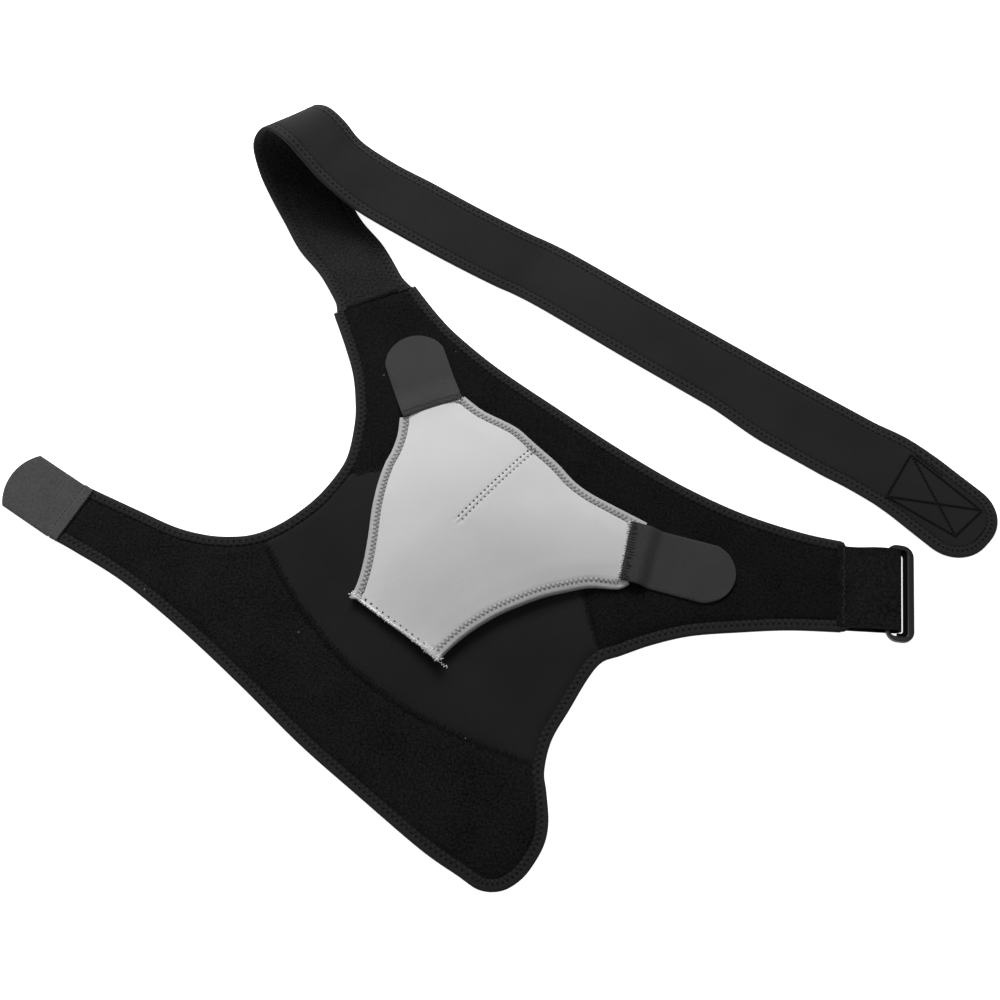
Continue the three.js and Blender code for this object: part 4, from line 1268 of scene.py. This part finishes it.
tab_stitches = []
up = SEAT + SIDE_UP + HOOK
for i in range(24):
    t = (i + 0.5) / 12 - 1
    back = -SIDE_LAP - SIDE_SKEW * (t + 1) / 2
    near = side_base + side_axis * (back - chance.uniform(0.6, 2.4)) + side_side * side_half * t
    far = side_base + side_axis * (back + chance.uniform(4.5, 7.5))
    far += side_side * (side_half * t + chance.uniform(-0.8, 0.8))
    tab_stitches.append(stitch(raised(near, up - 0.9), raised(far, up + 0.1), UP * 0.45))
a = side_base - side_axis * (SIDE_LAP + 5.6) + side_side * side_half
b = side_base - side_axis * (SIDE_LAP + 1.0) - side_side * side_half
tab_tufts = fluff(raised(a, up - 1.2), raised(b, up - 1.2), 110, 2.0)
tab_tufts += fluff(raised(a, up - 1.2), raised(a.lerp(b, 0.2), up - 1.0), 60, 2.6)
threads("tab_stitching", tab_stitches, 0.3, black_thread)
up = SEAT + TOP_UP + HOOK
small_stitches = []
for i in range(30):
    near = top_base - top_axis * 1.7 + top_side * top_half * ((i + 0.5) / 15 - 1)
    far = near + top_axis * chance.uniform(1.2, 3.2) + top_side * 0.8
    small_stitches.append(stitch(raised(near, up - 0.3), raised(far, up + 0.05), UP * 0.2))
    dot = raised(near + top_axis * chance.uniform(4.0, 6.0), up - 0.1)
    small_stitches.append(stitch(dot, dot + Vector((0.7, 0.3, 0)), UP * 0.2))
a, b = (top_base - top_axis * 2.3 + top_side * top_half * way for way in (-1, 1))
tab_tufts += fluff(raised(a, up - 1.4), raised(b, up - 1.4), 80, 1.5)
tab_tufts += fluff(raised(a, up - 1.2), raised(a.lerp(b, 0.1), up - 1.2), 30, 2.0)
threads("small_tab_stitching", small_stitches, 0.22, black_thread)
threads("tab_fluff", tab_tufts, 0.14, white_fluff, sides=3)

arm_stitches = []
for out, pitch, sunk in ((1.6, 3.2, 1.2), (-7.4, 2.6, 0)):
    ends = [raised(p + tab_out * out, CLOTH + HOOK + 0.1 - sunk) for p in (tab_low, tab_high)]
    arm_stitches += row_of_stitches(*ends, pitch, 0.2, 0.35)
threads("arm_tab_stitching", arm_stitches, 0.36, black_thread)

# Bar tacks at the strap's root
tack_stitches = []
for corner, other, long in ((root_left, root_right, 12), (root_right, root_left, 16)):
    way = (other - corner).normalized()
    square = way.orthogonal()
    for i in range(13):
        p = corner + way * (0.5 + i * long / 13) + square * chance.uniform(-1, 1)
        a, b = p + square * chance.uniform(0.4, 1.6), p - square * chance.uniform(0.4, 1.6)
        tack_stitches.append(stitch(raised(a, CLOTH + 0.2), raised(b, CLOTH + 0.2), UP * 0.25))
threads("root_tacks", tack_stitches, 0.2, speck_thread)
root_ends = [raised(root_left.lerp(root_right, share), CLOTH + 0.1) for share in (0.1, 0.9)]
threads("root_seam", row_of_stitches(*root_ends, 2.6, 0.2, 0.3), 0.3, black_thread)

# Lint on the nap
lint = []
for x, y in ((-1, 152), (86, 118), (-118, -96), (120, 74), (215, -60), (-240, -60), (10, -180), (70, 150),
             (-60, 130)):
    at = Vector((x, y, CLOTH + 0.3))
    way = Vector((chance.uniform(-1, 1), chance.uniform(-1, 1), 0.1)).normalized()
    lint.append([at, at + way * 0.7, at + way * 1.1 + Vector((0.2, -0.3, 0.1))])
threads("lint", lint, 0.3, lint_fibre, sides=4)

# Stage
bpy.ops.object.select_all(action="DESELECT")
bpy.ops.mesh.primitive_plane_add(size=24, location=(0.0, 0.0, -0.0006))
floor = bpy.context.object
floor.name = "floor"
floor_paint, _, floor_shader = bare_material("pale floor", 0.9, 0.1)
floor_shader["Base Color"].default_value = grey(0.8)
floor_shader["Emission Color"].default_value = grey(1)
floor_shader["Emission Strength"].default_value = 0.9
floor.data.materials.append(floor_paint)

world = bpy.data.worlds.new("studio")
bpy.context.scene.world = world
world.use_nodes = True
sky = world.node_tree.nodes["Background"].inputs
sky["Color"].default_value = grey(1)
sky["Strength"].default_value = 0.2


def softbox(name, place, aim, size, power):
    light = bpy.data.lights.new(name, "AREA")
    light.shape = "RECTANGLE"
    light.size, light.size_y = size
    light.energy = power
    lamp = bpy.data.objects.new(name, light)
    lamp.location = place
    lamp.rotation_euler = (Vector(aim) - Vector(place)).to_track_quat("-Z", "Y").to_euler()
    bpy.context.collection.objects.link(lamp)


softbox("key", (-0.25, 1.25, 0.95), (0.0, 0.0, 0.0), (1.0, 0.7), 32)
softbox("low", (-1.3, -0.5, 0.7), (-0.1, 0.15, 0.02), (0.8, 0.6), 3)
softbox("fill", (0.9, -0.2, 1.9), (0.05, 0.0, 0.0), (1.2, 1.2), 5)

CAMERA_UP = math.radians(65)
CAMERA_AWAY = 1.2
AIM = Vector((0.0357776, 0.017545, 0))
lens = bpy.data.cameras.new("camera")
lens.lens = 54
lens.sensor_width = 36
camera = bpy.data.objects.new("camera", lens)
bpy.context.collection.objects.link(camera)
camera.location = AIM + Vector((0, -math.cos(CAMERA_UP), math.sin(CAMERA_UP))) * CAMERA_AWAY
camera.rotation_euler = (AIM - camera.location).to_track_quat("-Z", "Y").to_euler()
bpy.context.scene.camera = camera
bpy.context.scene.view_settings.view_transform = "Standard"
